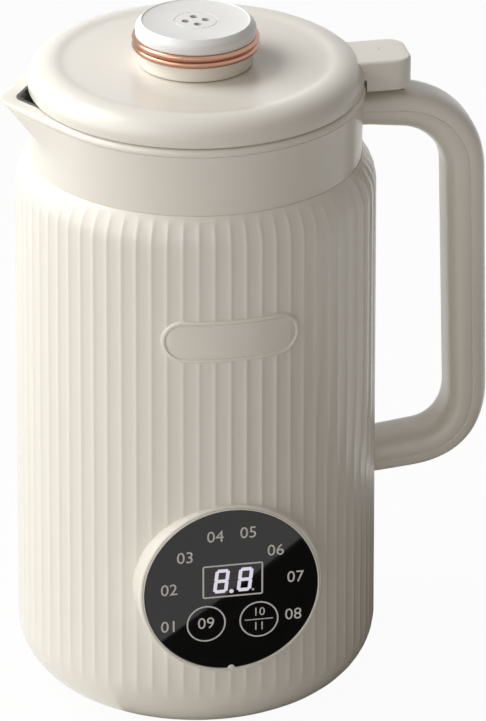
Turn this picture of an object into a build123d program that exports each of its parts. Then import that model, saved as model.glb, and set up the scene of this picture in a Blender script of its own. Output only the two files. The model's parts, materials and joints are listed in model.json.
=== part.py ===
from build123d import *
import os
from math import acos, cos, degrees, pi, radians, sin, sqrt, tan

# Soy milk maker, all-in-one jug. Millimetres, +Z up, origin on the body's axis at the floor.
# The pouring lip points to -X, the handle to +X, the touch panel to -Y and the inlet to +Y.

# Clearances
FIT = 0.15              # between fixed pieces that nest
SLIP = 0.3              # between pieces that move apart
RUN = 0.05              # round a turning shaft
OVERRUN = 3.0           # how far a cutter passes the face it cuts
TOUCH = 0.01            # how near an edge lies to the outline that it follows

# Casing
GROUND_GAP = 1.5
SHELL_R = 65.0          # ridge radius under the shoulder
SHELL_FLARE = 1.2       # how much wider the ridges are at the bottom
SHELL_WALL = 2.2
BOTTOM_ROUND = 25.0
SHOULDER_RISE = 11.8
SHOULDER_STEP = 5.2
NECK_Z = 207.8
FLUTE_COUNT = 72
FLUTE_DEPTH = 0.8

# Badge pad
BADGE_Z = 162.4
BADGE_LENGTH = 50.0
BADGE_HEIGHT = 14.6
BADGE_PROUD = 0.1
BEAD_PROUD = 0.6
BEAD_WIDTH = 1.0

# Base
COVER_REACH = 5.8       # how far the cover runs out under the casing's round
COVER_T = 3.0
LEDGE_T = 2.4
LEDGE_WIDTH = 3.0
PAD_R = 4.5
VENT_COUNT = 12
VENT_WIDTH = 3.0
VENT_INNER_R = 11.0
VENT_RIM = 5.9          # land between the air slots and the foot
FOOT_WIDTH = 4.0
FOOT_GAP = 1.8
FOOT_SUNK = 1.5

# Fasteners
SCREW_R = 1.5
SCREW_HEAD_R = 2.8
SCREW_HEAD_T = 1.5
SMALL_SCREW_R = 1.0
SMALL_HEAD_R = 1.9
SMALL_HEAD_T = 1.2
SCREW_LENGTH = 8.0
SMALL_SCREW_LENGTH = 5.0
POST_COUNT = 4
POST_R = 4.0
POST_ANGLE = 45.0

# Motor
SHAFT_R = 4.0
FAN_GAP = 3.5
FAN_R = 24.0
FAN_H = 6.5
FAN_DISC_T = 1.5
FAN_HUB_R = 7.0
FAN_BLADES = 10
FAN_BLADE_T = 1.2
STATOR_R = 27.0
YOKE_T = 4.5
AIR_GAP = 0.6
ARMATURE_R = 17.4
CORE_H = 18.0
CORE_SLOTS = 12
SLOT_WIDTH = 2.4
SLOT_DEPTH = 5.0
WINDING_R = 15.2
WINDING_H = 4.0
COIL_T = 4.0
COIL_OVERHANG = 4.5
POLE_HALF_ANGLE = 52.0
COIL_ANGLE = 22.0
COMMUTATOR_R = 9.0
COMMUTATOR_H = 8.0
BAR_COUNT = 12
BAR_GAP = 0.6
BAR_GAP_DEPTH = 1.2
STEP_GAP = 1.5          # clear height between turning and fixed stages
BRACKET_T = 2.5
BEARING_R = 9.5
BEARING_H = 6.0
BOSS_WALL = 2.0
PILLAR_R = 1.9
BRUSH_SIZE = 5.0
BRUSH_GAP = 0.3
BRUSH_LENGTH = 11.0
HOLDER_WALL = 1.2
DAMPER_COUNT = 4
DAMPER_ANGLE = 0.0
DAMPER_R = 5.0
DAMPER_H = 3.0

# Chassis and shaft coupling
DECK_GAP = 6.8          # between the deck and the casing's wall
DECK_T = 3.0
DECK_BORE_R = 13.5
STANDOFF_COUNT = 4
STANDOFF_R = 3.3
COUPLING_R = 10.5
COUPLING_DISC_T = 4.5
JAW_COUNT = 3
JAW_H = 4.6
JAW_ANGLE = 48.0
JAW_INNER_R = 5.5

# Cup and heater
CUP_WALL = 0.8
CUP_ROUND = 9.0
CUP_DROP = 0.3
HEATER_PLATE_T = 4.0
HEATER_RIM = 1.0        # plate left outside the heating ring
HEATER_TUBE_R = 3.2
HEATER_GAP_ANGLE = 36.0
HEATER_PIN_R = 1.4
HEATER_PIN_H = 9.0
THERMOSTAT_R = 6.2
THERMOSTAT_H = 7.0
SENSOR_R = 2.6
SENSOR_H = 11.0
SENSE_GAP = 1.0         # between the heating ring and the thermostat

# Blade unit
BLADE_SHAFT_R = 3.0
HOUSING_TUBE_R = 11.5
HOUSING_FLANGE_R = 17.0
HOUSING_FLANGE_T = 3.0
HOUSING_NOSE_R = 9.0
HOUSING_NOSE_H = 10.0
HOUSING_TAIL = 4.8
HOUSING_BORE_R = 6.0
GASKET_T = 1.0
NUT_R = 16.0
NUT_T = 3.5
BUSH_H = 6.0
SHAFT_SEAL_H = 2.5
BLADE_R = 24.0
BLADE_T = 1.5
BLADE_ROOT_W = 11.0
BLADE_TIP_W = 6.0
BLADE_HUB_R = 7.0
BLADE_TILT = 18.0
SPACER_H = 3.0
BLADE_NUT_R = 5.0
BLADE_NUT_H = 5.0

# Collar and pouring lip
COLLAR_HEIGHT = 25.7
COLLAR_INSET = 0.2
COLLAR_FLARE = 1.2
COLLAR_WALL = 2.4
SKIRT_LENGTH = 8.0
LAND_WIDTH = 4.2
LAND_T = 2.4
SEAL_T = 0.8
SEAL_H = 3.2
LIP_REACH = 9.6
LIP_DEPTH = 14.0
LIP_BORE_R = 1.8        # inner radius of the steel lip at its tip

# Lid
LID_OVERHANG = 0.6      # how far the lid's rim stays inside the collar's
LID_RIM_H = 2.3
LID_ROUND_W = 10.7
LID_ROUND_H = 5.6
LID_DISH = 0.8
LID_WALL = 2.2
LID_BORE_R = 15.6
LUG_HALF_WIDTH = 11.0
LUG_REACH = 18.5
LUG_DROP = 5.5
LUG_TOP_DROP = 2.7
LUG_ROUND = 3.0
LINER_T = 2.0
LINER_WALL = 1.8
LINER_DEPTH = 15.5
LINER_GAP = 2.3
POUR_SLOTS = 7
POUR_SLOT_W = 3.0
POUR_SLOT_H = 9.0
POUR_SLOT_PITCH = 7.0
LID_SEAL_H = 2.4
LID_BOSS_R = 3.4
LID_BOSS_INSET = 11.5    # from the lid's crease in to its screw bosses
LID_BOSS_COUNT = 3
LID_BOSS_ANGLE = 60.0
PROBE_R = 2.2
PROBE_LENGTH = 42.0
PROBE_HEAD_T = 1.6
PROBE_HEAD_R = 4.0
PROBE_GAP = 3.4

# Steam knob
KNOB_SEAM = 0.3
KNOB_BASE_R = 20.4
KNOB_BASE_H = 5.2
KNOB_TUBE_WALL = 2.0
BEAD_R = 1.5
BEAD_PITCH = 2.8
TRIM_SLEEVE_T = 1.2
CAP_R = 21.9
CAP_H = 4.7
CAP_WALL = 1.8
CAP_CHAMFER = 2.4
CAP_DISH = 0.3
CAP_DISH_R = 17.6
CAP_SPIGOT_H = 4.0
VENT_RING_R = 8.0
VENT_RING_T = 0.6
VENT_RING_H = 0.25
STEAM_HOLES = 4
STEAM_HOLE_R = 1.45
STEAM_CIRCLE_R = 3.6
PLUG_R = 13.7
PLUG_WALL = 1.6
PLUG_DEPTH = 13.5
VENT_SEAL_H = 2.4

# Handle
HANDLE_REACH = 107.8
HANDLE_DROP = 7.0
ARM_T = 12.0
GRIP_T = 16.0
LOW_ARM_Z = 76.8
LOW_ARM_T = 10.6
LOW_ARM_RISE = 8.0      # degrees
OUTER_CORNER_R = 30.0
INNER_CORNER_R = 15.5
GRIP_HALF_W = 10.5
OUTER_EDGE_ROUND = 5.5
INNER_EDGE_ROUND = 3.6
GRIP_SPLIT_SHARE = 0.4
HANDLE_WALL = 2.2
HANDLE_SCREW_SPREAD = 4.5
SOCKET_LENGTH = 10.0
SOCKET_WIDTH = 11.0
SOCKET_DEPTH = 9.0
SOCKET_WALL = 1.5
COUPLER_GAP = 0.6

# Touch panel
PANEL_Z = 64.4
PANEL_R = 32.0
PANEL_PROUD = 0.6
PANEL_RIM = 1.7
PANEL_DRAFT = 2.6
BEZEL_T = 0.8
BEZEL_PROUD = 0.3
LENS_T = 2.0
LENS_SEAT = 4.5
NUB_R = 1.5
BOARD_T = 1.6
DISPLAY_GAP = 4.5
DISPLAY_W = 21.8
DISPLAY_H = 12.2
DISPLAY_RAISE = 3.0
DIGIT_H = 9.5
DIGIT_W = 6.1
DIGIT_PITCH = 8.7
DIGIT_STROKE = 1.3
DIGIT_T = 0.3
DIGIT_SHIFT = 1.2
POINT_R = 0.7
KEY_SPREAD = 9.7
KEY_DROP = 13.5
KEY_SPRING_R = 3.5
KEY_SPRING_WALL = 0.6
BOARD_SCREW_ANGLE = 25.0

# Power board
BOARD_GAP = 3.0         # between the board's parts and the casing's wall
RAIL_T = 4.0
RAIL_GRIP = 1.5
RAIL_WALL = 1.8
POWER_BOARD_H = 50.0
POWER_BOARD_W = 48.0
POWER_BOARD_LOW = 13.0
RELAY_SIZE = (12.0, 14.0, 18.0)
CAPACITOR_SIZE = (12.5, 9.0, 17.0)
TRANSFORMER_SIZE = (13.0, 16.0, 18.0)
PART_GAP = 4.0

# Inlet
INLET_Z = 44.0
INLET_W = 24.6
INLET_H = 16.6
INLET_DEPTH = 17.0
INLET_WALL = 2.4
INLET_BACK_T = 4.0
INLET_FLANGE = 6.5
INLET_FLANGE_T = 2.5
INLET_PAD = 8.0
INLET_ROUND = 2.5
PIN_W = 2.0
PIN_H = 4.0
PIN_LENGTH = 12.0
PIN_TAIL = 6.0
PIN_SPREAD = 7.0
PIN_RAISE = 2.0

# Levels, from the floor up
COVER_TOP = GROUND_GAP + COVER_T
LEDGE_TOP = COVER_TOP + LEDGE_T
FAN_Z = COVER_TOP + FAN_GAP
FAN_TOP = FAN_Z + FAN_H
LOWER_BRACKET_Z = FAN_TOP + STEP_GAP
BOSS_H = BEARING_H + STEP_GAP
COMMUTATOR_Z = LOWER_BRACKET_Z + BOSS_H + STEP_GAP
COMMUTATOR_TOP = COMMUTATOR_Z + COMMUTATOR_H
CORE_Z = COMMUTATOR_TOP + STEP_GAP + WINDING_H
CORE_TOP = CORE_Z + CORE_H
UPPER_BRACKET_Z = CORE_TOP + COIL_OVERHANG + STEP_GAP
DECK_Z = UPPER_BRACKET_Z + BRACKET_T + DAMPER_H
DECK_TOP = DECK_Z + DECK_T
DRIVE_Z = UPPER_BRACKET_Z + BOSS_H + STEP_GAP
JAW_Z = DRIVE_Z + COUPLING_DISC_T
JAW_TOP = JAW_Z + JAW_H
DRIVEN_TOP = JAW_TOP + SLIP + COUPLING_DISC_T
HOUSING_Z = DRIVEN_TOP + SLIP
PLATE_Z = HOUSING_Z + HOUSING_TAIL
FLOOR_Z = PLATE_Z + HEATER_PLATE_T
FLOOR_TOP = FLOOR_Z + CUP_WALL
FLANGE_Z = FLOOR_TOP + GASKET_T
NOSE_TOP = FLANGE_Z + HOUSING_FLANGE_T + HOUSING_NOSE_H
BLADE_Z = NOSE_TOP + SLIP
RIM_Z = NECK_Z + COLLAR_HEIGHT
LID_Z = RIM_Z + SLIP
LID_SHOULDER_Z = LID_Z + LID_RIM_H
LID_CREASE_Z = LID_SHOULDER_Z + LID_ROUND_H
LID_TOP = LID_CREASE_Z + LID_DISH
KNOB_Z = LID_TOP + KNOB_SEAM
TRIM_Z = KNOB_Z + KNOB_BASE_H
TRIM_TOP = TRIM_Z + 2 * BEAD_R + BEAD_PITCH
CAP_TOP = TRIM_TOP + CAP_H
HANDLE_TOP = RIM_Z - HANDLE_DROP

# Radii and places that follow from the sizes above
NECK_R = SHELL_R - SHOULDER_STEP
COLLAR_R = NECK_R - COLLAR_INSET
RIM_R = COLLAR_R + COLLAR_FLARE
LIP_Z = RIM_Z - LIP_DEPTH
SHOULDER_Z = NECK_Z - SHOULDER_RISE
ROUND_Z = GROUND_GAP + BOTTOM_ROUND
SEAL_INSET = LAND_WIDTH + FIT
CUP_INSET = SEAL_INSET + SEAL_T + FIT
CUP_R = RIM_R - CUP_INSET
CUP_BORE_R = CUP_R - CUP_WALL
LIP_TIP_R = LIP_BORE_R + CUP_WALL + CUP_INSET
LIP_CENTRE = RIM_R + LIP_REACH - LIP_TIP_R
FLAT_R = SHELL_R + SHELL_FLARE - BOTTOM_ROUND
COVER_R = FLAT_R + COVER_REACH
BASE_SCREW_CIRCLE = COVER_R - PAD_R
FOOT_R = BASE_SCREW_CIRCLE - SCREW_HEAD_R - FOOT_GAP
VENT_OUTER_R = FOOT_R - FOOT_WIDTH - VENT_RIM
WALL_R = SHELL_R - SHELL_WALL
DECK_R = WALL_R - DECK_GAP
PLATE_R = CUP_R - CUP_ROUND
HEATER_RING_R = PLATE_R - HEATER_RIM - HEATER_TUBE_R
HEATER_INNER_R = HEATER_RING_R - HEATER_TUBE_R
STANDOFF_CIRCLE = HEATER_INNER_R - SENSE_GAP - STANDOFF_R
SENSE_RADIUS = HEATER_INNER_R - SENSE_GAP - THERMOSTAT_R
POLE_R = ARMATURE_R + AIR_GAP
YOKE_R = STATOR_R - YOKE_T
PILLAR_CIRCLE = STATOR_R - PILLAR_R - FIT
DAMPER_CIRCLE = STATOR_R - DAMPER_R - BOSS_WALL
LID_R = RIM_R - LID_OVERHANG
LID_CREASE_R = LID_R - LID_ROUND_W
LINER_R = CUP_BORE_R - LINER_GAP
LID_BOSS_CIRCLE_R = LID_CREASE_R - LID_BOSS_INSET
PROBE_X = LINER_R - LINER_WALL - PROBE_R - PROBE_GAP
LUG_X = LID_R + LUG_REACH
LUG_TOP = LID_CREASE_Z - LUG_TOP_DROP + LID_DISH
LUG_Z = RIM_Z - LUG_DROP
KNOB_TUBE_R = KNOB_BASE_R - FIT
BEAD_CIRCLE_R = CAP_R - FIT
SOCKET_X = LUG_X - LID_WALL - SOCKET_LENGTH / 2
BOARD_PART_DEPTH = max(RELAY_SIZE[0], CAPACITOR_SIZE[0], TRANSFORMER_SIZE[0])
BOARD_PART_REACH = max(RELAY_SIZE[1], CAPACITOR_SIZE[1], TRANSFORMER_SIZE[1]) + PART_GAP / 2
BOARD_X = sqrt((WALL_R - BOARD_GAP) ** 2 - BOARD_PART_REACH ** 2) - BOARD_PART_DEPTH - BOARD_T


def disc(radius, low, high):
    """An upright cylinder on the body's axis."""
    return Pos(0, 0, (low + high) / 2) * Cylinder(radius, high - low)


def ring(outer, inner, low, high):
    """An upright ring on the body's axis."""
    return disc(outer, low, high) - disc(inner, low - OVERRUN, high + OVERRUN)


def block(x, y, z):
    """A box given by its low and high bound along each axis."""
    return Pos((x[0] + x[1]) / 2, (y[0] + y[1]) / 2, (z[0] + z[1]) / 2) * Box(
        x[1] - x[0], y[1] - y[0], z[1] - z[0])


def sector(outer, inner, half_angle, low, high):
    """A piece of an upright ring, centred on +X and half_angle degrees to each side."""
    reach = 2 * outer
    wedge = Polyline((0, 0), (reach, -reach * tan(radians(half_angle))),
                     (reach, reach * tan(radians(half_angle))), close=True)
    cutter = extrude(Pos(0, 0, low - OVERRUN) * make_face(wedge), high - low + 2 * OVERRUN)
    return ring(outer, inner, low, high) & cutter


def turned(edges):
    """A solid of revolution from half a section, drawn as radius and height."""
    return revolve(make_face([Plane.XZ * edge for edge in edges]), Axis.Z)


def screw(head_r, head_t, shank_r, length):
    """A pan-head screw along Z: its head lies under z = 0 and its shank goes up."""
    return disc(head_r, -head_t, 0) + disc(shank_r, -head_t / 2, length)


def group(solids):
    """Several separate solids as one node."""
    return Compound(children=[solid for solid in solids])


def round_places(radius, count, start=0.0):
    """Places on a circle about the body's axis, each turned to face outwards."""
    return PolarLocations(radius, count, start_angle=start)


def ridge_radius(z):
    """Radius of the casing's ridges at a height."""
    return SHELL_R + SHELL_FLARE * (SHOULDER_Z - z) / (SHOULDER_Z - ROUND_Z)


# Casing


def casing_form(inset):
    """The casing's smooth outer form, drawn in by inset."""
    low = (FLAT_R, GROUND_GAP + inset)
    side = (SHELL_R + SHELL_FLARE - inset, ROUND_Z)
    shoulder = (SHELL_R - inset, SHOULDER_Z)
    neck = (NECK_R - inset, NECK_Z)
    return turned([
        Line((0, low[1]), low),
        TangentArc(low, side, tangent=(1, 0)),
        Line(side, shoulder),
        TangentArc(shoulder, neck, tangent=(0, 1)),
        Polyline(neck, (0, NECK_Z), (0, low[1])),
    ])


def fluted_prism():
    """A tall prism whose sides are scallops with sharp ridges between them."""
    faces = []
    for z in (GROUND_GAP - OVERRUN, NECK_Z + OVERRUN):
        ridge = ridge_radius(z)
        valley = ridge - FLUTE_DEPTH
        step = 2 * pi / FLUTE_COUNT
        scallops = []
        for index in range(FLUTE_COUNT):
            start, middle, end = index * step, (index + 1 / 2) * step, (index + 1) * step
            scallops.append(ThreePointArc((ridge * cos(start), ridge * sin(start)),
                                          (valley * cos(middle), valley * sin(middle)),
                                          (ridge * cos(end), ridge * sin(end))))
        faces.append(Pos(0, 0, z) * make_face(scallops))
    return loft(faces, ruled=True)


def front_plane(y, z):
    """A plane that faces -Y at the given depth, centred at height z, with its x along +X."""
    return Plane(origin=(0, y, z), x_dir=(1, 0, 0), z_dir=(0, -1, 0))


PANEL_Y = -(ridge_radius(PANEL_Z) + PANEL_PROUD)
LENS_BACK_Y = PANEL_Y + LENS_T
BOARD_FRONT_Y = LENS_BACK_Y + DISPLAY_GAP
LENS_R = PANEL_R - BEZEL_T


def panel_disc(radius, front, back):
    """A disc square to the touch panel, between two depths."""
    return extrude(front_plane(back, PANEL_Z) * Circle(radius), back - front)


def badge_pad():
    """The smooth pill-shaped pad on the flutes, with a raised bead round it."""
    plane = front_plane(0, BADGE_Z)
    reach = SHELL_R + SHELL_FLARE + OVERRUN
    ridge = ridge_radius(BADGE_Z)
    low, high = BADGE_Z - BADGE_HEIGHT, BADGE_Z + BADGE_HEIGHT
    pill = extrude(plane * SlotOverall(BADGE_LENGTH, BADGE_HEIGHT), reach)
    core = extrude(plane * SlotOverall(BADGE_LENGTH - 2 * BEAD_WIDTH, BADGE_HEIGHT - 2 * BEAD_WIDTH), reach)
    inner = ridge - SHELL_WALL / 2
    pad = pill & ring(ridge + BADGE_PROUD, inner, low, high)
    bead = (pill - core) & ring(ridge + BEAD_PROUD, inner, low, high)
    return pad + bead


def inlet_opening(grow, inner, outer):
    """The inlet's rounded rectangle, grown on all sides, between two depths along +Y."""
    plane = Plane(origin=(0, inner, INLET_Z), x_dir=(-1, 0, 0), z_dir=(0, 1, 0))
    shape = RectangleRounded(INLET_W + 2 * grow, INLET_H + 2 * grow, INLET_ROUND + grow)
    return extrude(plane * shape, outer - inner)


INLET_MOUTH_Y = ridge_radius(INLET_Z) - FLUTE_DEPTH
INLET_SEAT_Y = INLET_MOUTH_Y - INLET_PAD
INLET_FLOOR_Y = INLET_MOUTH_Y - INLET_DEPTH


def handle_screw_places():
    """Where each handle screw passes through the body, as x of its seat, y and z."""
    arm_z = HANDLE_TOP - ARM_T / 2
    low_z = LOW_ARM_Z + LOW_ARM_T / 2
    reach = HANDLE_SCREW_SPREAD + SCREW_HEAD_R
    places = []
    for wall_r, z in ((collar_radius(arm_z) - COLLAR_WALL, arm_z), (ridge_radius(low_z) - SHELL_WALL, low_z)):
        seat = sqrt(wall_r ** 2 - reach ** 2)
        places += [(seat, -HANDLE_SCREW_SPREAD, z), (seat, HANDLE_SCREW_SPREAD, z)]
    return places


def handle_screw_holes(grow):
    """Cutters for the handle screws' shanks."""
    length = SCREW_LENGTH + FIT
    return [Pos(x, y, z) * Rot(0, 90, 0) * disc(SCREW_R + grow, -OVERRUN, length)
            for x, y, z in handle_screw_places()]


def board_screw_places():
    """Where the display board's screws stand, as x and height above the panel's centre."""
    radius = PANEL_R - PANEL_RIM - SMALL_HEAD_R
    places = []
    for angle in (BOARD_SCREW_ANGLE, -BOARD_SCREW_ANGLE, 180 - BOARD_SCREW_ANGLE, 180 + BOARD_SCREW_ANGLE):
        places.append((radius * cos(radians(angle)), radius * sin(radians(angle))))
    return places


def outer_shell():
    shell = (casing_form(0) & fluted_prism()) + badge_pad()
    boss_depth = -PANEL_Y - NECK_R / 2
    boss = extrude(front_plane(-NECK_R / 2, PANEL_Z) * Circle(PANEL_R + PANEL_RIM + PANEL_DRAFT), boss_depth)
    cone = Pos(0, PANEL_Y + boss_depth / 2, PANEL_Z) * Rot(90, 0, 0) * Cone(
        PANEL_R + PANEL_RIM + PANEL_DRAFT, PANEL_R + PANEL_RIM, boss_depth)
    shell += boss & cone
    shell -= casing_form(SHELL_WALL)
    pad = inlet_opening(INLET_FLANGE, INLET_SEAT_Y, INLET_MOUTH_Y) & casing_form(SHELL_WALL / 2)
    shell += pad
    ledge = ring(SHELL_R, COVER_R - LEDGE_WIDTH, COVER_TOP, LEDGE_TOP)
    shell += ledge & casing_form(SHELL_WALL / 2)
    shell -= disc(COVER_R + FIT, 0, COVER_TOP)
    for place in round_places(BASE_SCREW_CIRCLE, POST_COUNT, POST_ANGLE):
        shell += place * disc(PAD_R, COVER_TOP, LEDGE_TOP)
        shell -= place * disc(SCREW_R + FIT, COVER_TOP - OVERRUN, LEDGE_TOP + OVERRUN)
    shell -= panel_disc(PANEL_R + FIT, PANEL_Y - OVERRUN, LENS_BACK_Y)
    shell -= panel_disc(PANEL_R - LENS_SEAT, PANEL_Y, BOARD_FRONT_Y + OVERRUN)
    shell -= panel_disc(PANEL_R - FIT, BOARD_FRONT_Y, -NECK_R / 2)
    shell -= [Pos(x, BOARD_FRONT_Y, PANEL_Z + z) * Rot(90, 0, 0) * disc(SMALL_SCREW_R + FIT, 0, SMALL_SCREW_LENGTH)
              for x, z in board_screw_places()]
    shell -= inlet_opening(INLET_WALL + FIT, INLET_SEAT_Y - OVERRUN, INLET_MOUTH_Y + OVERRUN)
    shell -= inlet_screw_holes(FIT)
    shell -= handle_screw_holes(FIT)
    return shell


def base_cover():
    cover = disc(COVER_R, GROUND_GAP, COVER_TOP)
    cover -= ring(FOOT_R + FIT, FOOT_R - FOOT_WIDTH - FIT, GROUND_GAP - OVERRUN, GROUND_GAP + FOOT_SUNK)
    vent_length = VENT_OUTER_R - VENT_INNER_R
    slot = extrude(SlotOverall(vent_length, VENT_WIDTH), COVER_TOP + OVERRUN)
    for place in round_places((VENT_OUTER_R + VENT_INNER_R) / 2, VENT_COUNT):
        cover -= place * slot
    for place in round_places(BASE_SCREW_CIRCLE, POST_COUNT, POST_ANGLE):
        cover -= place * disc(SCREW_R + FIT, 0, COVER_TOP + OVERRUN)
        cover -= place * disc(SCREW_HEAD_R + FIT, 0, GROUND_GAP + SCREW_HEAD_T)
    return cover


def foot_ring():
    return ring(FOOT_R, FOOT_R - FOOT_WIDTH, 0, GROUND_GAP + FOOT_SUNK)


def casing_screws():
    """The large screws: up into the posts, down through the dampers and out into the handle."""
    pin = screw(SCREW_HEAD_R, SCREW_HEAD_T, SCREW_R, SCREW_LENGTH)
    up = Pos(0, 0, GROUND_GAP + SCREW_HEAD_T) * pin
    down = Pos(0, 0, DECK_TOP) * Rot(180, 0, 0) * pin
    pins = [place * up for place in round_places(BASE_SCREW_CIRCLE, POST_COUNT, POST_ANGLE)]
    pins += [place * down for place in round_places(DAMPER_CIRCLE, DAMPER_COUNT, DAMPER_ANGLE)]
    pins += [Pos(x, y, z) * Rot(0, 90, 0) * pin for x, y, z in handle_screw_places()]
    return group(pins)


def small_screws():
    """The small screws: into the panel's boss and into the inlet's pad."""
    pin = screw(SMALL_HEAD_R, SMALL_HEAD_T, SMALL_SCREW_R, SMALL_SCREW_LENGTH)
    pins = [Pos(x, BOARD_FRONT_Y + BOARD_T, PANEL_Z + z) * Rot(90, 0, 0) * pin for x, z in board_screw_places()]
    start = INLET_SEAT_Y - INLET_FLANGE_T
    pins += [Pos(x, start, INLET_Z) * Rot(-90, 0, 0) * pin for x in inlet_screw_places()]
    return group(pins)


# Chassis


def rail_bounds(side):
    """Bounds in y of one of the two rails that hold the power board's edges."""
    inner = side * (POWER_BOARD_W / 2 - RAIL_GRIP)
    outer = side * (POWER_BOARD_W / 2 - RAIL_GRIP + RAIL_T)
    return (min(inner, outer), max(inner, outer))


def chassis():
    deck = disc(DECK_R, DECK_Z, DECK_TOP)
    for place in round_places(BASE_SCREW_CIRCLE, POST_COUNT, POST_ANGLE):
        deck += place * disc(POST_R, LEDGE_TOP, DECK_Z + DECK_T / 2)
    for place in round_places(BASE_SCREW_CIRCLE, POST_COUNT, POST_ANGLE):
        tip = GROUND_GAP + SCREW_HEAD_T + SCREW_LENGTH + FIT
        deck -= place * disc(SCREW_R + FIT, LEDGE_TOP - OVERRUN, tip)
    for place in round_places(STANDOFF_CIRCLE, STANDOFF_COUNT, POST_ANGLE):
        deck += place * disc(STANDOFF_R, DECK_Z, PLATE_Z)
    low = (-BOARD_X - BOARD_T - RAIL_WALL, -BOARD_X + RAIL_WALL)
    for side in (-1, 1):
        deck += block(low, rail_bounds(side), (COVER_TOP + POWER_BOARD_LOW / 2, DECK_Z + DECK_T / 2))
    half = POWER_BOARD_W / 2 + FIT
    deck -= block((-BOARD_X - BOARD_T - FIT, -BOARD_X + FIT), (-half, half), (0, DECK_Z))
    deck -= disc(DECK_BORE_R, DECK_Z - OVERRUN, DECK_TOP + OVERRUN)
    for place in round_places(DAMPER_CIRCLE, DAMPER_COUNT, DAMPER_ANGLE):
        deck -= place * disc(SCREW_R + FIT, DECK_Z - OVERRUN, DECK_TOP + OVERRUN)
    return deck


# Cup and collar


def lip_face(inset, z):
    """A circle with a pouring lip towards -X, drawn in by inset on all sides."""
    radius, tip = RIM_R - inset, LIP_TIP_R - inset
    spread = pi - acos((radius - tip) / LIP_CENTRE)
    on_rim = (radius * cos(spread), radius * sin(spread))
    on_tip = (tip * cos(spread) - LIP_CENTRE, tip * sin(spread))
    edges = [
        ThreePointArc((on_rim[0], -on_rim[1]), (radius, 0), on_rim),
        Line(on_rim, on_tip),
        ThreePointArc(on_tip, (-LIP_CENTRE - tip, 0), (on_tip[0], -on_tip[1])),
        Line((on_tip[0], -on_tip[1]), (on_rim[0], -on_rim[1])),
    ]
    return Pos(0, 0, z) * make_face(edges)


def round_face(radius, z):
    """A circle cut into the same four edges as the outline with the lip."""
    wide = pi - acos((RIM_R - LIP_TIP_R) / LIP_CENTRE)
    narrow = (wide + pi) / 2
    points = [(radius * cos(angle), radius * sin(angle)) for angle in (-wide, wide, narrow, -narrow)]
    middle = (wide + narrow) / 2
    between = [(radius, 0), (radius * cos(middle), radius * sin(middle)), (-radius, 0),
               (radius * cos(middle), -radius * sin(middle))]
    edges = [ThreePointArc(points[i], between[i], points[(i + 1) % 4]) for i in range(4)]
    return Pos(0, 0, z) * make_face(edges)


def lip_form(inset, low_radius):
    """The flaring top of collar or cup, from a plain circle to the outline with the lip."""
    return loft([round_face(low_radius, LIP_Z), lip_face(inset, RIM_Z)], ruled=True)


def collar_radius(z):
    """Outer radius of the collar's round part at a height."""
    return COLLAR_R + COLLAR_FLARE * (z - NECK_Z) / COLLAR_HEIGHT


def collar_form(inset):
    """The collar's outer form, drawn in by inset."""
    foot = round_face(COLLAR_R - inset, NECK_Z)
    waist = round_face(collar_radius(LIP_Z) - inset, LIP_Z)
    return loft([foot, waist, lip_face(inset, RIM_Z)], ruled=True)


def collar():
    body = collar_form(0)
    space = disc(RIM_R + LIP_REACH, NECK_Z + LAND_T, RIM_Z - LAND_T)
    body -= collar_form(COLLAR_WALL) & space
    skirt_r = NECK_R - SHELL_WALL - FIT
    body += disc(skirt_r, NECK_Z - SKIRT_LENGTH, NECK_Z)
    body -= disc(CUP_R + FIT, NECK_Z - SKIRT_LENGTH - OVERRUN, LIP_Z)
    body -= lip_form(LAND_WIDTH, RIM_R - LAND_WIDTH)
    body -= handle_screw_holes(FIT)
    return body


def cup_form(grow):
    """The cup's form, grown outwards by grow from its outer face."""
    radius = CUP_R + grow
    corner = CUP_ROUND + grow
    bottom = FLOOR_Z - grow
    round_part = turned([
        Line((0, bottom), (radius - corner, bottom)),
        TangentArc((radius - corner, bottom), (radius, bottom + corner), tangent=(1, 0)),
        Polyline((radius, bottom + corner), (radius, LIP_Z), (0, LIP_Z), (0, bottom)),
    ])
    return round_part + lip_form(CUP_INSET - grow, radius)


def cup():
    steel = cup_form(0) - cup_form(-CUP_WALL)
    steel -= disc(RIM_R + LIP_REACH, RIM_Z - CUP_DROP, RIM_Z + OVERRUN)
    return steel - disc(HOUSING_TUBE_R + FIT, FLOOR_Z - OVERRUN, FLOOR_TOP + OVERRUN)


def cup_seal():
    outer = lip_form(SEAL_INSET, RIM_R - SEAL_INSET)
    inner = lip_form(SEAL_INSET + SEAL_T, RIM_R - SEAL_INSET - SEAL_T)
    return (outer - inner) & disc(RIM_R + LIP_REACH, RIM_Z - SEAL_H, RIM_Z - FIT)


# Heater


def heater_plate():
    plate = disc(PLATE_R, PLATE_Z, FLOOR_Z)
    return plate - disc(HOUSING_TUBE_R + FIT, PLATE_Z - OVERRUN, FLOOR_Z + OVERRUN)


def heating_ring():
    z = PLATE_Z - HEATER_TUBE_R
    start = radians(HEATER_GAP_ANGLE / 2)
    track = CenterArc((0, 0, z), HEATER_RING_R, degrees(start), 360 - HEATER_GAP_ANGLE)
    tube = sweep(Plane(origin=track @ 0, z_dir=track % 0) * Circle(HEATER_TUBE_R), path=track)
    for side in (-1, 1):
        x = HEATER_RING_R * cos(start)
        y = side * HEATER_RING_R * sin(start)
        tube += Pos(x, y, 0) * disc(HEATER_PIN_R, z - HEATER_PIN_H, z)
    return tube


def thermostat():
    return Pos(0, SENSE_RADIUS, 0) * disc(THERMOSTAT_R, PLATE_Z - THERMOSTAT_H, PLATE_Z)


def temperature_sensor():
    return Pos(0, -SENSE_RADIUS, 0) * disc(SENSOR_R, PLATE_Z - SENSOR_H, PLATE_Z)


# Blade unit


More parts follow.
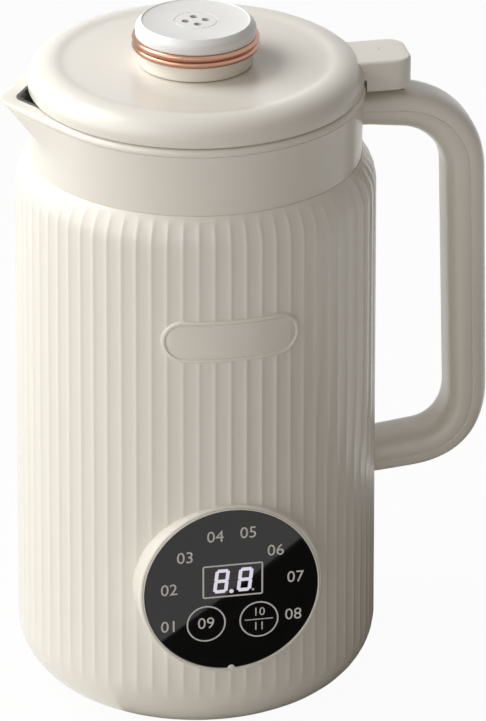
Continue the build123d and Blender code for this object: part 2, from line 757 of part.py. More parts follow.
def blade_housing():
    tube = disc(HOUSING_TUBE_R, HOUSING_Z, FLANGE_Z + HOUSING_FLANGE_T / 2)
    tube += disc(HOUSING_FLANGE_R, FLANGE_Z, FLANGE_Z + HOUSING_FLANGE_T)
    tube += disc(HOUSING_NOSE_R, FLANGE_Z, NOSE_TOP)
    return tube - disc(HOUSING_BORE_R, HOUSING_Z - OVERRUN, NOSE_TOP + OVERRUN)


def housing_gasket():
    return ring(HOUSING_FLANGE_R, HOUSING_TUBE_R + FIT, FLOOR_TOP, FLANGE_Z)


def housing_nut():
    nut = extrude(Pos(0, 0, PLATE_Z - NUT_T) * RegularPolygon(NUT_R, 6), NUT_T)
    return nut - disc(HOUSING_TUBE_R + FIT, PLATE_Z - NUT_T - OVERRUN, PLATE_Z + OVERRUN)


def blade_bushes():
    seal_z = NOSE_TOP - SHAFT_SEAL_H
    lows = (HOUSING_Z, seal_z - FIT - BUSH_H)
    return group([ring(HOUSING_BORE_R - RUN, BLADE_SHAFT_R + RUN, low, low + BUSH_H) for low in lows])


def shaft_seal():
    return ring(HOUSING_BORE_R - RUN, BLADE_SHAFT_R + RUN, NOSE_TOP - SHAFT_SEAL_H, NOSE_TOP)


def wing_blade(low, tilt):
    """A hub with two tapered wings along X, each tilted up by tilt degrees."""
    hub = ring(BLADE_HUB_R, BLADE_SHAFT_R + RUN, low, low + BLADE_T)
    root = BLADE_HUB_R * 2 / 3
    outline = Polyline((root, -BLADE_ROOT_W / 2), (BLADE_R, -BLADE_TIP_W / 2),
                       (BLADE_R, BLADE_TIP_W / 2), (root, BLADE_ROOT_W / 2), close=True)
    wing = extrude(make_face(outline), BLADE_T)
    bent = Pos(root, 0, low) * Rot(0, -tilt, 0) * Pos(-root, 0, 0) * wing
    bore = disc(BLADE_SHAFT_R + RUN, low - OVERRUN, low + BLADE_R)
    return hub + (bent - bore) + (Rot(0, 0, 180) * (bent - bore))


def lower_blade():
    return wing_blade(BLADE_Z, 0)


def upper_blade():
    return Rot(0, 0, 90) * wing_blade(BLADE_Z + BLADE_T + SPACER_H, BLADE_TILT)


def blade_spacer():
    low = BLADE_Z + BLADE_T
    return ring(BLADE_NUT_R, BLADE_SHAFT_R + RUN, low, low + SPACER_H)


BLADE_STACK_TOP = BLADE_Z + 2 * BLADE_T + SPACER_H


def blade_nut():
    nut = extrude(Pos(0, 0, BLADE_STACK_TOP) * RegularPolygon(BLADE_NUT_R, 6), BLADE_NUT_H)
    return nut - disc(BLADE_SHAFT_R + RUN, 0, BLADE_STACK_TOP + BLADE_NUT_H * 2 / 3)


def blade_shaft():
    return disc(BLADE_SHAFT_R, DRIVEN_TOP - COUPLING_DISC_T, BLADE_STACK_TOP + BLADE_NUT_H / 2)


def jaws(low, high, turn):
    """The claws of one half of the shaft coupling."""
    claw = sector(COUPLING_R - FIT, JAW_INNER_R, JAW_ANGLE / 2, low, high)
    return [Rot(0, 0, turn + index * 360 / JAW_COUNT) * claw for index in range(JAW_COUNT)]


def drive_coupling():
    half = ring(COUPLING_R, SHAFT_R + RUN, DRIVE_Z, JAW_Z)
    for claw in jaws(JAW_Z - COUPLING_DISC_T / 2, JAW_TOP, 0):
        half += claw
    return half


def driven_coupling():
    low = JAW_TOP + SLIP
    half = ring(COUPLING_R, BLADE_SHAFT_R + RUN, low, DRIVEN_TOP)
    for claw in jaws(JAW_Z + SLIP, low + COUPLING_DISC_T / 2, 180 / JAW_COUNT):
        half += claw
    return half


# Motor


def motor_shaft():
    return disc(SHAFT_R, FAN_Z, JAW_Z)


def cooling_fan():
    wheel = disc(FAN_R, FAN_Z, FAN_Z + FAN_DISC_T) + disc(FAN_HUB_R, FAN_Z, FAN_TOP)
    blade = block((FAN_HUB_R / 2, FAN_R - FAN_BLADE_T), (-FAN_BLADE_T / 2, FAN_BLADE_T / 2), (FAN_Z, FAN_TOP))
    for index in range(FAN_BLADES):
        wheel += Rot(0, 0, index * 360 / FAN_BLADES) * blade
    return wheel - disc(SHAFT_R + RUN, FAN_Z - OVERRUN, FAN_TOP + OVERRUN)


def commutator():
    drum = ring(COMMUTATOR_R, SHAFT_R + RUN, COMMUTATOR_Z, COMMUTATOR_TOP)
    gap = block((COMMUTATOR_R - BAR_GAP_DEPTH, COMMUTATOR_R + OVERRUN), (-BAR_GAP / 2, BAR_GAP / 2),
                (COMMUTATOR_Z - OVERRUN, COMMUTATOR_TOP + OVERRUN))
    return drum - [Rot(0, 0, (index + 1 / 2) * 360 / BAR_COUNT) * gap for index in range(BAR_COUNT)]


def armature_core():
    core = ring(ARMATURE_R, SHAFT_R + RUN, CORE_Z, CORE_TOP)
    slot = block((ARMATURE_R - SLOT_DEPTH, ARMATURE_R + OVERRUN), (-SLOT_WIDTH / 2, SLOT_WIDTH / 2),
                 (CORE_Z - OVERRUN, CORE_TOP + OVERRUN))
    return core - [Rot(0, 0, index * 360 / CORE_SLOTS) * slot for index in range(CORE_SLOTS)]


def armature_windings():
    ends = [ring(WINDING_R, SHAFT_R + RUN, CORE_Z - WINDING_H, CORE_Z),
            ring(WINDING_R, SHAFT_R + RUN, CORE_TOP, CORE_TOP + WINDING_H)]
    width = SLOT_WIDTH - 2 * FIT
    bar = block((ARMATURE_R - SLOT_DEPTH + FIT, WINDING_R), (-width / 2, width / 2),
                (CORE_Z - WINDING_H / 2, CORE_TOP + WINDING_H / 2))
    whole = ends[0] + ends[1]
    for index in range(CORE_SLOTS):
        whole += Rot(0, 0, index * 360 / CORE_SLOTS) * bar
    return whole


def pole_shoes(grow_r, half_angle, low, high):
    """The two pole shoes of the stator, on the Y axis."""
    shoe = sector(YOKE_R + grow_r, POLE_R, half_angle, low, high)
    return [Rot(0, 0, 90) * shoe, Rot(0, 0, -90) * shoe]


def motor_stator():
    stack = ring(STATOR_R, YOKE_R, CORE_Z, CORE_TOP)
    for shoe in pole_shoes(YOKE_T / 2, POLE_HALF_ANGLE, CORE_Z, CORE_TOP):
        stack += shoe
    return stack


def field_coils():
    low, high = CORE_Z - COIL_OVERHANG, CORE_TOP + COIL_OVERHANG
    outer = sector(YOKE_R - FIT, POLE_R, POLE_HALF_ANGLE + COIL_ANGLE, low, high)
    core = sector(YOKE_R + OVERRUN, POLE_R - OVERRUN, POLE_HALF_ANGLE + FIT, CORE_Z - FIT, CORE_TOP + FIT)
    coil = outer - core
    return group([Rot(0, 0, 90) * coil, Rot(0, 0, -90) * coil])


def bracket(low, pillar_low, pillar_high):
    """A motor end bracket: a plate with a bearing boss and four pillars to the stator."""
    plate = disc(STATOR_R, low, low + BRACKET_T) + disc(BEARING_R + BOSS_WALL, low, low + BOSS_H)
    for place in round_places(PILLAR_CIRCLE, POST_COUNT, 0):
        plate += place * disc(PILLAR_R, pillar_low, pillar_high)
    plate -= disc(BEARING_R + FIT, low + STEP_GAP, low + BOSS_H + OVERRUN)
    return plate - disc(SHAFT_R + BOSS_WALL, low - OVERRUN, low + BOSS_H)


def lower_bracket():
    plate = bracket(LOWER_BRACKET_Z, LOWER_BRACKET_Z + BRACKET_T / 2, CORE_Z)
    vent = sector(PILLAR_CIRCLE - 2 * PILLAR_R, BEARING_R + 2 * BOSS_WALL, POLE_HALF_ANGLE / 3,
                  LOWER_BRACKET_Z - OVERRUN, LOWER_BRACKET_Z + BRACKET_T + OVERRUN)
    return plate - [Rot(0, 0, POST_ANGLE + 90 * index) * vent for index in range(4)]


def upper_bracket():
    plate = bracket(UPPER_BRACKET_Z, CORE_TOP, UPPER_BRACKET_Z + BRACKET_T / 2)
    for place in round_places(DAMPER_CIRCLE, DAMPER_COUNT, DAMPER_ANGLE):
        plate -= place * disc(SCREW_R + FIT, UPPER_BRACKET_Z - OVERRUN, UPPER_BRACKET_Z + BRACKET_T + OVERRUN)
    return plate


def motor_bearings():
    lows = (LOWER_BRACKET_Z + STEP_GAP, UPPER_BRACKET_Z + STEP_GAP)
    return group([ring(BEARING_R, SHAFT_R + RUN, low, low + BEARING_H) for low in lows])


def brush_bounds():
    """Bounds in z of the brushes, centred on the commutator."""
    middle = (COMMUTATOR_Z + COMMUTATOR_TOP) / 2
    return (middle - BRUSH_SIZE / 2, middle + BRUSH_SIZE / 2)


def carbon_brushes():
    start = COMMUTATOR_R + BRUSH_GAP
    brush = block((start, start + BRUSH_LENGTH), (-BRUSH_SIZE / 2, BRUSH_SIZE / 2), brush_bounds())
    return group([Rot(0, 0, turn) * brush for turn in (90, 270)])


def brush_holders():
    low, high = brush_bounds()
    start = COMMUTATOR_R + BRUSH_GAP + STEP_GAP
    end = start + BRUSH_LENGTH
    half = BRUSH_SIZE / 2 + FIT
    shell = block((start, end), (-half - HOLDER_WALL, half + HOLDER_WALL),
                  (low - FIT - HOLDER_WALL, high + FIT + HOLDER_WALL))
    shell += block((end - 2 * HOLDER_WALL, end), (-half, half), (LOWER_BRACKET_Z + BRACKET_T, high))
    shell -= block((0, end - HOLDER_WALL), (-half, half), (low - FIT, high + FIT))
    return group([Rot(0, 0, turn) * shell for turn in (90, 270)])


def motor_dampers():
    pad = ring(DAMPER_R, SCREW_R + FIT, UPPER_BRACKET_Z + BRACKET_T, DECK_Z)
    return group([place * pad for place in round_places(DAMPER_CIRCLE, DAMPER_COUNT, DAMPER_ANGLE)])


# Power board


def power_board():
    half = POWER_BOARD_W / 2
    low = COVER_TOP + POWER_BOARD_LOW
    return block((-BOARD_X - BOARD_T, -BOARD_X), (-half, half), (low, low + POWER_BOARD_H))


def board_part(size, middle_y, middle_z):
    """A box-shaped component that stands on the power board's outer face."""
    depth, width, height = size
    return block((-BOARD_X - BOARD_T - depth, -BOARD_X - BOARD_T),
                 (middle_y - width / 2, middle_y + width / 2), (middle_z - height / 2, middle_z + height / 2))


BOARD_MID_Z = COVER_TOP + POWER_BOARD_LOW + POWER_BOARD_H / 2
UPPER_PART_Z = BOARD_MID_Z + (RELAY_SIZE[2] + PART_GAP) / 2
LOWER_PART_Z = BOARD_MID_Z - (TRANSFORMER_SIZE[2] + PART_GAP) / 2


def board_parts():
    """The two relays, the transformer and the filter capacitor."""
    shift = (RELAY_SIZE[1] + PART_GAP) / 2
    parts = [board_part(RELAY_SIZE, side * shift, UPPER_PART_Z) for side in (-1, 1)]
    parts.append(board_part(TRANSFORMER_SIZE, -(TRANSFORMER_SIZE[1] + PART_GAP) / 2, LOWER_PART_Z))
    parts.append(board_part(CAPACITOR_SIZE, (CAPACITOR_SIZE[1] + PART_GAP) / 2, LOWER_PART_Z))
    return group(parts)


# Inlet


def inlet_screw_places():
    """Where the inlet's screws stand, in x, at the inlet's height."""
    return [side * (INLET_W / 2 + INLET_WALL + INLET_FLANGE / 2) for side in (-1, 1)]


def inlet_screw_holes(grow):
    """Cutters for the inlet screws, from the flange into the casing's pad."""
    depth = SMALL_SCREW_LENGTH
    start = INLET_SEAT_Y - INLET_FLANGE_T
    return [Pos(x, start, INLET_Z) * Rot(-90, 0, 0) * disc(SMALL_SCREW_R + grow, -OVERRUN, depth + grow)
            for x in inlet_screw_places()]


def inlet_socket():
    body = inlet_opening(INLET_WALL, INLET_FLOOR_Y - INLET_BACK_T, INLET_MOUTH_Y)
    body += inlet_opening(INLET_WALL + INLET_FLANGE, INLET_SEAT_Y - INLET_FLANGE_T, INLET_SEAT_Y)
    body -= inlet_opening(0, INLET_FLOOR_Y, INLET_MOUTH_Y + OVERRUN)
    body -= inlet_screw_holes(FIT)
    return body - inlet_blades(FIT)


def inlet_blades(grow):
    """The three contact blades, grown on all sides."""
    places = ((-PIN_SPREAD, -PIN_RAISE), (0, PIN_RAISE), (PIN_SPREAD, -PIN_RAISE))
    back = INLET_FLOOR_Y - PIN_TAIL
    front = INLET_FLOOR_Y + PIN_LENGTH
    half_w, half_h = PIN_W / 2 + grow, PIN_H / 2 + grow
    return [block((x - half_w, x + half_w), (back - grow, front + grow),
                  (INLET_Z + z - half_h, INLET_Z + z + half_h)) for x, z in places]


def inlet_pins():
    return group(inlet_blades(0))


# Touch panel


def index_nub(grow, front, back):
    """The round index nub at the foot of the lens, between two depths."""
    return extrude(front_plane(back, PANEL_Z - LENS_R) * Circle(NUB_R + grow), back - front)


def panel_bezel():
    hoop = panel_disc(PANEL_R, PANEL_Y - BEZEL_PROUD, LENS_BACK_Y)
    bead = index_nub(0, PANEL_Y - BEZEL_PROUD, LENS_BACK_Y) & hoop
    return hoop - panel_disc(LENS_R, PANEL_Y - OVERRUN, LENS_BACK_Y + OVERRUN) + bead


def panel_lens():
    disc_solid = panel_disc(LENS_R - FIT, PANEL_Y, LENS_BACK_Y)
    return disc_solid - index_nub(FIT, PANEL_Y - OVERRUN, LENS_BACK_Y + OVERRUN)


def display_board():
    board = panel_disc(PANEL_R - 2 * FIT, BOARD_FRONT_Y, BOARD_FRONT_Y + BOARD_T)
    return board - [Pos(x, BOARD_FRONT_Y, PANEL_Z + z) * Rot(90, 0, 0) *
                    disc(SMALL_SCREW_R + FIT, -BOARD_T - OVERRUN, OVERRUN) for x, z in board_screw_places()]


def digit_display():
    """The display module, with the seven bars and the point of each digit on its front."""
    z = PANEL_Z + DISPLAY_RAISE
    module = block((-DISPLAY_W / 2, DISPLAY_W / 2), (LENS_BACK_Y + DIGIT_T, BOARD_FRONT_Y),
                   (z - DISPLAY_H / 2, z + DISPLAY_H / 2))
    face = (LENS_BACK_Y, LENS_BACK_Y + DIGIT_T)
    half_w, half_h = (DIGIT_W - DIGIT_STROKE) / 2, (DIGIT_H - DIGIT_STROKE) / 2
    gap = DIGIT_STROKE / 2 + FIT
    bars = [module]
    for side in (-1, 1):
        middle = side * DIGIT_PITCH / 2 - DIGIT_SHIFT
        for z in (-half_h, 0, half_h):
            height = PANEL_Z + DISPLAY_RAISE + z
            bars.append(block((middle - half_w + gap, middle + half_w - gap), face,
                              (height - DIGIT_STROKE / 2, height + DIGIT_STROKE / 2)))
        for x in (-half_w, half_w):
            for low, high in ((-half_h, 0), (0, half_h)):
                base = PANEL_Z + DISPLAY_RAISE
                bars.append(block((middle + x - DIGIT_STROKE / 2, middle + x + DIGIT_STROKE / 2), face,
                                  (base + low + gap, base + high - gap)))
        point_x = middle + half_w + DIGIT_STROKE / 2 + FIT + POINT_R
        point_z = PANEL_Z + DISPLAY_RAISE - half_h
        bars.append(extrude(Plane(origin=(point_x, face[1], point_z), x_dir=(1, 0, 0), z_dir=(0, -1, 0)) *
                            Circle(POINT_R), DIGIT_T))
    return group(bars)


def touch_springs():
    """The sprung contact under each touch key, from the board to the lens."""
    sleeves = []
    for side in (-1, 1):
        plane = Plane(origin=(side * KEY_SPREAD, BOARD_FRONT_Y, PANEL_Z - KEY_DROP), x_dir=(1, 0, 0),
                      z_dir=(0, -1, 0))
        outline = Circle(KEY_SPRING_R) - Circle(KEY_SPRING_R - KEY_SPRING_WALL)
        sleeves.append(extrude(plane * outline, DISPLAY_GAP))
    return group(sleeves)


# Lid


def lid_form(inset):
    """The lid's domed form, drawn in by inset, without its lug."""
    side = LID_R - inset
    crease_z = LID_CREASE_Z - inset
    return turned([
        Line((side, LID_Z), (side, LID_SHOULDER_Z)),
        EllipticalCenterArc((LID_CREASE_R, LID_SHOULDER_Z), LID_ROUND_W - inset, LID_ROUND_H - inset,
                            start_angle=0, arc_size=90),
        Polyline((LID_CREASE_R, crease_z), (0, LID_TOP - inset), (0, LID_Z), (side, LID_Z)),
    ])


def lug_form(inset):
    """The lug that reaches from the lid over the handle."""
    half = LUG_HALF_WIDTH - inset
    outline = Polyline((LID_CREASE_R, -half), (LUG_X - inset, -half), (LUG_X - inset, half),
                       (LID_CREASE_R, half), close=True)
    low, high = LUG_Z + inset, LUG_TOP - inset
    solid = extrude(Pos(0, 0, low) * make_face(outline), high - low)
    edges = solid.edges().filter_by(Axis.Z).sort_by(Axis.X)[-2:] + solid.faces().sort_by(Axis.Z)[-1].edges()
    far = [edge for edge in edges if edge.center().X > LID_CREASE_R + TOUCH]
    return fillet(far, LUG_ROUND - inset / 2)


def lid_cover():
    inside_rim = disc(RIM_R + SLIP, LUG_Z - OVERRUN, LID_Z)
    cover = lid_form(0) + (lug_form(0) - inside_rim)
    cover -= lid_form(LID_WALL)
    cover -= disc(LID_R - LID_WALL, LID_Z - OVERRUN, LID_SHOULDER_Z)
    lug_space = lug_form(LID_WALL) - disc(RIM_R + SLIP + LID_WALL, LUG_Z - OVERRUN, LUG_TOP + OVERRUN)
    cover -= lug_space
    for place in lid_boss_places():
        cover += place * disc(LID_BOSS_R, LID_Z + LINER_T, LID_CREASE_Z - LID_WALL / 2)
        cover -= place * disc(SMALL_SCREW_R + FIT, LID_Z, LID_Z + SMALL_SCREW_LENGTH)
    cover -= disc(LID_BORE_R, LID_Z, LID_TOP + OVERRUN)
    cover -= coupler_block(FIT)
    return cover


def lid_boss_places():
    """Where the lid's screw bosses stand."""
    return round_places(LID_BOSS_CIRCLE_R, LID_BOSS_COUNT, LID_BOSS_ANGLE)


def lid_liner():
    plate_r = LID_R - LID_WALL - FIT
    liner = disc(plate_r, LID_Z, LID_Z + LINER_T)
    liner += ring(LINER_R, LINER_R - LINER_WALL, RIM_Z - LINER_DEPTH, LID_Z + LINER_T / 2)
    liner += ring(LID_BORE_R + LINER_WALL, LID_BORE_R, LID_Z, LID_CREASE_Z - LID_WALL)
    liner -= disc(LID_BORE_R, LID_Z - OVERRUN, LID_TOP)
    liner -= seal_groove(FIT)
    slot_low = RIM_Z - LINER_DEPTH + LINER_T
    slot = block((-LINER_R - OVERRUN, -LINER_R + 2 * OVERRUN), (-POUR_SLOT_W / 2, POUR_SLOT_W / 2),
                 (slot_low, slot_low + POUR_SLOT_H))
    turn = degrees(POUR_SLOT_PITCH / LINER_R)
    liner -= [Rot(0, 0, (index - (POUR_SLOTS - 1) / 2) * turn) * slot for index in range(POUR_SLOTS)]
    for place in lid_boss_places():
        liner -= place * disc(SMALL_SCREW_R + FIT, LID_Z - OVERRUN, LID_Z + LINER_T + OVERRUN)
    return liner - Pos(PROBE_X, 0, 0) * disc(PROBE_R + FIT, LID_Z - OVERRUN, LID_TOP)


def seal_groove(grow):
    """The room that the lid's seal takes in the liner's skirt."""
    high = RIM_Z - LAND_T / 2
    return ring(LINER_R + OVERRUN, LINER_R - LINER_WALL / 2 - grow, high - LID_SEAL_H - grow, high + grow)


def lid_seal():
    high = RIM_Z - LAND_T / 2
    return ring(CUP_BORE_R - SLIP, LINER_R - LINER_WALL / 2, high - LID_SEAL_H, high)


def lid_screws():
    pin = Pos(0, 0, LID_Z) * screw(SMALL_HEAD_R, SMALL_HEAD_T, SMALL_SCREW_R, SMALL_SCREW_LENGTH)
    return group([place * pin for place in lid_boss_places()])


def overflow_probe():
    rod = disc(PROBE_R, RIM_Z - PROBE_LENGTH, LID_Z + LINER_T)
    rod += disc(PROBE_HEAD_R, LID_Z + LINER_T, LID_Z + LINER_T + PROBE_HEAD_T)
    return Pos(PROBE_X, 0, 0) * rod


COUPLER_LENGTH = SOCKET_LENGTH - 2 * SOCKET_WALL - 2 * COUPLER_GAP
COUPLER_WIDTH = SOCKET_WIDTH - 2 * SOCKET_WALL - 2 * COUPLER_GAP
SOCKET_Z = HANDLE_TOP - SOCKET_DEPTH
COUPLER_Z = SOCKET_Z + SOCKET_WALL + 2 * COUPLER_GAP


def coupler_block(grow):
    """The lid's plug for the handle's socket, grown sideways."""
    half_l, half_w = COUPLER_LENGTH / 2 + grow, COUPLER_WIDTH / 2 + grow
    return block((SOCKET_X - half_l, SOCKET_X + half_l), (-half_w, half_w), (COUPLER_Z, LUG_TOP - 2 * LID_WALL))


def lid_coupler():
    flange = block((SOCKET_X - COUPLER_LENGTH / 2 - SOCKET_WALL, SOCKET_X + COUPLER_LENGTH / 2 + SOCKET_WALL),
                   (-COUPLER_WIDTH / 2 - SOCKET_WALL, COUPLER_WIDTH / 2 + SOCKET_WALL),
                   (LUG_Z + LID_WALL, LUG_Z + LID_WALL + SOCKET_WALL))
    return coupler_block(0) + flange


# Steam knob


def knob_base():
    body = disc(KNOB_BASE_R, KNOB_Z, TRIM_Z)
    body += disc(KNOB_TUBE_R, KNOB_Z, TRIM_TOP)
    body += disc(PLUG_R, KNOB_Z - PLUG_DEPTH, KNOB_Z)
    body -= disc(KNOB_TUBE_R - KNOB_TUBE_WALL, TRIM_TOP - CAP_SPIGOT_H - FIT, TRIM_TOP + OVERRUN)
    body -= disc(PLUG_R - PLUG_WALL, KNOB_Z - PLUG_DEPTH - OVERRUN, TRIM_TOP)
    return body - vent_seal_ring(FIT)


def vent_seal_ring(grow):
    """The seal round the knob's plug."""
    high = LID_Z + LINER_T + VENT_SEAL_H
    return ring(LID_BORE_R - SLIP, PLUG_R - PLUG_WALL / 2 - grow, high - VENT_SEAL_H - grow, high + grow)


def vent_seal():
    return vent_seal_ring(0)


def knob_trim():
    sleeve = ring(BEAD_CIRCLE_R, KNOB_BASE_R, TRIM_Z, TRIM_TOP)
    for z in (TRIM_Z + BEAD_R, TRIM_TOP - BEAD_R):
        sleeve += Pos(0, 0, z) * Torus(BEAD_CIRCLE_R, BEAD_R)
    return sleeve - disc(KNOB_BASE_R, TRIM_Z - OVERRUN, TRIM_TOP + OVERRUN)


def knob_cap():
    side = TRIM_TOP + CAP_H - CAP_CHAMFER
    cap = turned([Polyline((0, TRIM_TOP), (CAP_R, TRIM_TOP), (CAP_R, side), (CAP_R - CAP_CHAMFER, CAP_TOP),
                           (0, CAP_TOP), close=True)])
    spigot_r = KNOB_TUBE_R - KNOB_TUBE_WALL - FIT
    cap += disc(spigot_r, TRIM_TOP - CAP_SPIGOT_H, TRIM_TOP + CAP_WALL)
    cap -= disc(spigot_r - CAP_WALL, TRIM_TOP - CAP_SPIGOT_H - OVERRUN, CAP_TOP - CAP_WALL)
    cap -= disc(CAP_DISH_R, CAP_TOP - CAP_DISH, CAP_TOP + OVERRUN)
    floor = CAP_TOP - CAP_DISH
    cap += ring(VENT_RING_R, VENT_RING_R - VENT_RING_T, floor - CAP_DISH, floor + VENT_RING_H)
    for place in round_places(STEAM_CIRCLE_R, STEAM_HOLES):
        cap -= place * disc(STEAM_HOLE_R, TRIM_TOP, CAP_TOP + OVERRUN)
    return cap


# Handle


def loop_face(x, top, bottom, corner):
    """A flat outline in the XZ plane from the body to x, with the lower arm's slope below."""
    root = NECK_R - SHELL_WALL
    slope = tan(radians(LOW_ARM_RISE))
    rise = (x - ridge_radius(LOW_ARM_Z)) * slope
    drop = (ridge_radius(LOW_ARM_Z) - root) * slope
    outline = Plane.XZ * Polyline((root, top), (x, top), (x, bottom + rise), (root, bottom - drop), close=True)
    face = make_face(outline)
    return fillet(face.vertices().group_by(Axis.X)[-1], corner)


def handle_faces():
    """The handle's outer outline, its inner outline and the line where its halves meet."""
    split = 1 - GRIP_SPLIT_SHARE
    outer = loop_face(HANDLE_REACH, HANDLE_TOP, LOW_ARM_Z, OUTER_CORNER_R)
    inner = loop_face(HANDLE_REACH - GRIP_T, HANDLE_TOP - ARM_T, LOW_ARM_Z + LOW_ARM_T, INNER_CORNER_R)
    corner = INNER_CORNER_R + (OUTER_CORNER_R - INNER_CORNER_R) * GRIP_SPLIT_SHARE
    middle = loop_face(HANDLE_REACH - GRIP_T * split, HANDLE_TOP - ARM_T * split,
                       LOW_ARM_Z + LOW_ARM_T * split, corner)
    return outer, inner, middle


def thick(face, half):
    """A flat outline made solid by half a width to each side."""
    return extrude(face, half, both=True)


def long_edges(solid, outline, half):
    """The edges of a solid's two flat sides that follow an outline."""
    path = outline.face().outer_wire()
    found = []
    for edge in solid.edges():
        middle = edge @ (1 / 2)
        ends_apart = abs(abs(middle.Y) - half) < TOUCH
        flat = Vector(middle.X, 0, middle.Z)
        if ends_apart and path.distance_to(flat) < TOUCH and middle.X > NECK_R:
            found.append(edge)
    return found


def body_form(grow):
    """Casing and collar as one solid, grown outwards."""
    top = turned([Polyline((0, NECK_Z - OVERRUN), (COLLAR_R + grow, NECK_Z - OVERRUN),
                           (RIM_R + grow, RIM_Z), (0, RIM_Z), close=True)])
    return casing_form(-grow) + top


def handle_hollow():
    outer, inner, _ = handle_faces()
    wall = HANDLE_WALL
    outer_core = offset(outer, amount=-wall)
    inner_core = offset(inner, amount=wall)
    hollow = thick(outer_core, GRIP_HALF_W - wall) - thick(inner_core, GRIP_HALF_W)
    return hollow - body_form(FIT + wall)


def handle_outer():
    outer, _, middle = handle_faces()
    solid = thick(outer, GRIP_HALF_W)
    solid = fillet(long_edges(solid, outer, GRIP_HALF_W), OUTER_EDGE_ROUND)
    solid -= thick(middle, 2 * GRIP_HALF_W)
    solid -= handle_hollow()
    solid -= body_form(FIT)
    solid -= handle_screw_holes(FIT)
    half_l, half_w = SOCKET_LENGTH / 2 + FIT, SOCKET_WIDTH / 2 + FIT
    return solid - block((SOCKET_X - half_l, SOCKET_X + half_l), (-half_w, half_w), (SOCKET_Z, HANDLE_TOP + OVERRUN))


def handle_inner():
    _, inner, middle = handle_faces()
    solid = thick(offset(middle, amount=-FIT), GRIP_HALF_W) - thick(inner, 2 * GRIP_HALF_W)
    solid = fillet(long_edges(solid, inner, GRIP_HALF_W), INNER_EDGE_ROUND)
    solid -= handle_hollow()
    solid -= body_form(FIT)
    return solid - handle_screw_holes(FIT)


def handle_socket():
    half_l, half_w = SOCKET_LENGTH / 2, SOCKET_WIDTH / 2
    body = block((SOCKET_X - half_l, SOCKET_X + half_l), (-half_w, half_w), (SOCKET_Z + FIT, HANDLE_TOP))
    inner_l, inner_w = half_l - SOCKET_WALL, half_w - SOCKET_WALL
    return body - block((SOCKET_X - inner_l, SOCKET_X + inner_l), (-inner_w, inner_w),
                        (SOCKET_Z + SOCKET_WALL, HANDLE_TOP + OVERRUN))


PIECES = (
    outer_shell, base_cover, foot_ring, chassis, casing_screws, small_screws, collar, cup, cup_seal,
    heater_plate, heating_ring, thermostat, temperature_sensor,
    blade_housing, housing_gasket, housing_nut, blade_bushes, shaft_seal,
    blade_shaft, lower_blade, upper_blade, blade_spacer, blade_nut, driven_coupling,
    motor_shaft, cooling_fan, commutator, armature_core, armature_windings, drive_coupling,
    motor_stator, field_coils, lower_bracket, upper_bracket, motor_bearings, brush_holders, carbon_brushes,
    motor_dampers, power_board, board_parts, inlet_socket, inlet_pins,
    panel_bezel, panel_lens, display_board, digit_display, touch_springs,
    lid_cover, lid_liner, lid_seal, lid_screws, overflow_probe, lid_coupler,
    knob_base, vent_seal, knob_trim, knob_cap, handle_outer, handle_inner, handle_socket,
)

if __name__ == "__main__":
    os.makedirs("parts", exist_ok=True)
    for piece in PIECES:
        export_step(piece(), "parts/" + piece.__name__ + ".step")
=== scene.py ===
import json
from math import acos, atan2, copysign, cos, hypot, pi, radians, sin, sqrt, tan

import bmesh
import bpy
from bpy.props import FloatProperty, FloatVectorProperty, IntProperty, PointerProperty
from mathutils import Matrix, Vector


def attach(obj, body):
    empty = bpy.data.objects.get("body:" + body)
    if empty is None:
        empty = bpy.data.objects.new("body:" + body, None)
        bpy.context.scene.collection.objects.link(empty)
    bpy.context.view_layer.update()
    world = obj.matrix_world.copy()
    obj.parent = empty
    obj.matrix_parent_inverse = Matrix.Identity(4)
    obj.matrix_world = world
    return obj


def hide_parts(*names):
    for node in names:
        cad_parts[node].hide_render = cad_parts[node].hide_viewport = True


bl_info = {
    "name": "Soy milk maker",
    "version": (1, 0, 0),
    "blender": (4, 5, 0),
    "location": "3D View > Sidebar > Jug",
    "description": "Dresses the packed soy milk maker: casing, collar, lid, knob, handle and touch panel",
    "category": "Add Mesh",
}

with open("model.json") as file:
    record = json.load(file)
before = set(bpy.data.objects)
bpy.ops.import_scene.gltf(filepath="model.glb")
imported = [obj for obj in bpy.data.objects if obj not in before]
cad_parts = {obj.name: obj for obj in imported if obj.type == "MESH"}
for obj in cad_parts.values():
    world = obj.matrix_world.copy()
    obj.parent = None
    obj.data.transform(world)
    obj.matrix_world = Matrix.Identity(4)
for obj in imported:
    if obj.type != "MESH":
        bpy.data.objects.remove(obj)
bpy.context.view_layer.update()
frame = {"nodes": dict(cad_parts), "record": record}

MM = 0.001
MERGE = 2e-6            # points nearer than this are one point
FULL_TURN = 2 * pi
CRISP = 40              # degrees; edges sharper than this stay crisp on most forms

# Measures that several pieces share, in millimetres, as the frame has them; each section below adds its own
RIDGE_R = 65.0          # the casing's ridges under the shoulder
RIDGE_FLARE = 1.05      # how much wider they are at the bottom
SHOULDER_Z = 196.0
NECK_Z = 207.8
RIM_Z = 233.2           # top of the collar
LENS_Z = 63.7           # middle of the lens and its boss
PANEL_Z = 64.4          # middle of what is printed on the lens
PANEL_Y = -66.53        # the lens's front
LID_Z = 233.85          # underside of the lid
TRIM_TOP = 252.9        # top of the knob's metal beads


# Sizes and colours that a user may change


def length(name, description, default):
    """A length property, in metres."""
    return FloatProperty(name=name, description=description, default=default, min=0.0,
                         subtype="DISTANCE", unit="LENGTH", precision=5)


def colour(name, description, default):
    """A colour property."""
    return FloatVectorProperty(name=name, description=description, default=default, size=3,
                               min=0.0, max=1.0, subtype="COLOR")


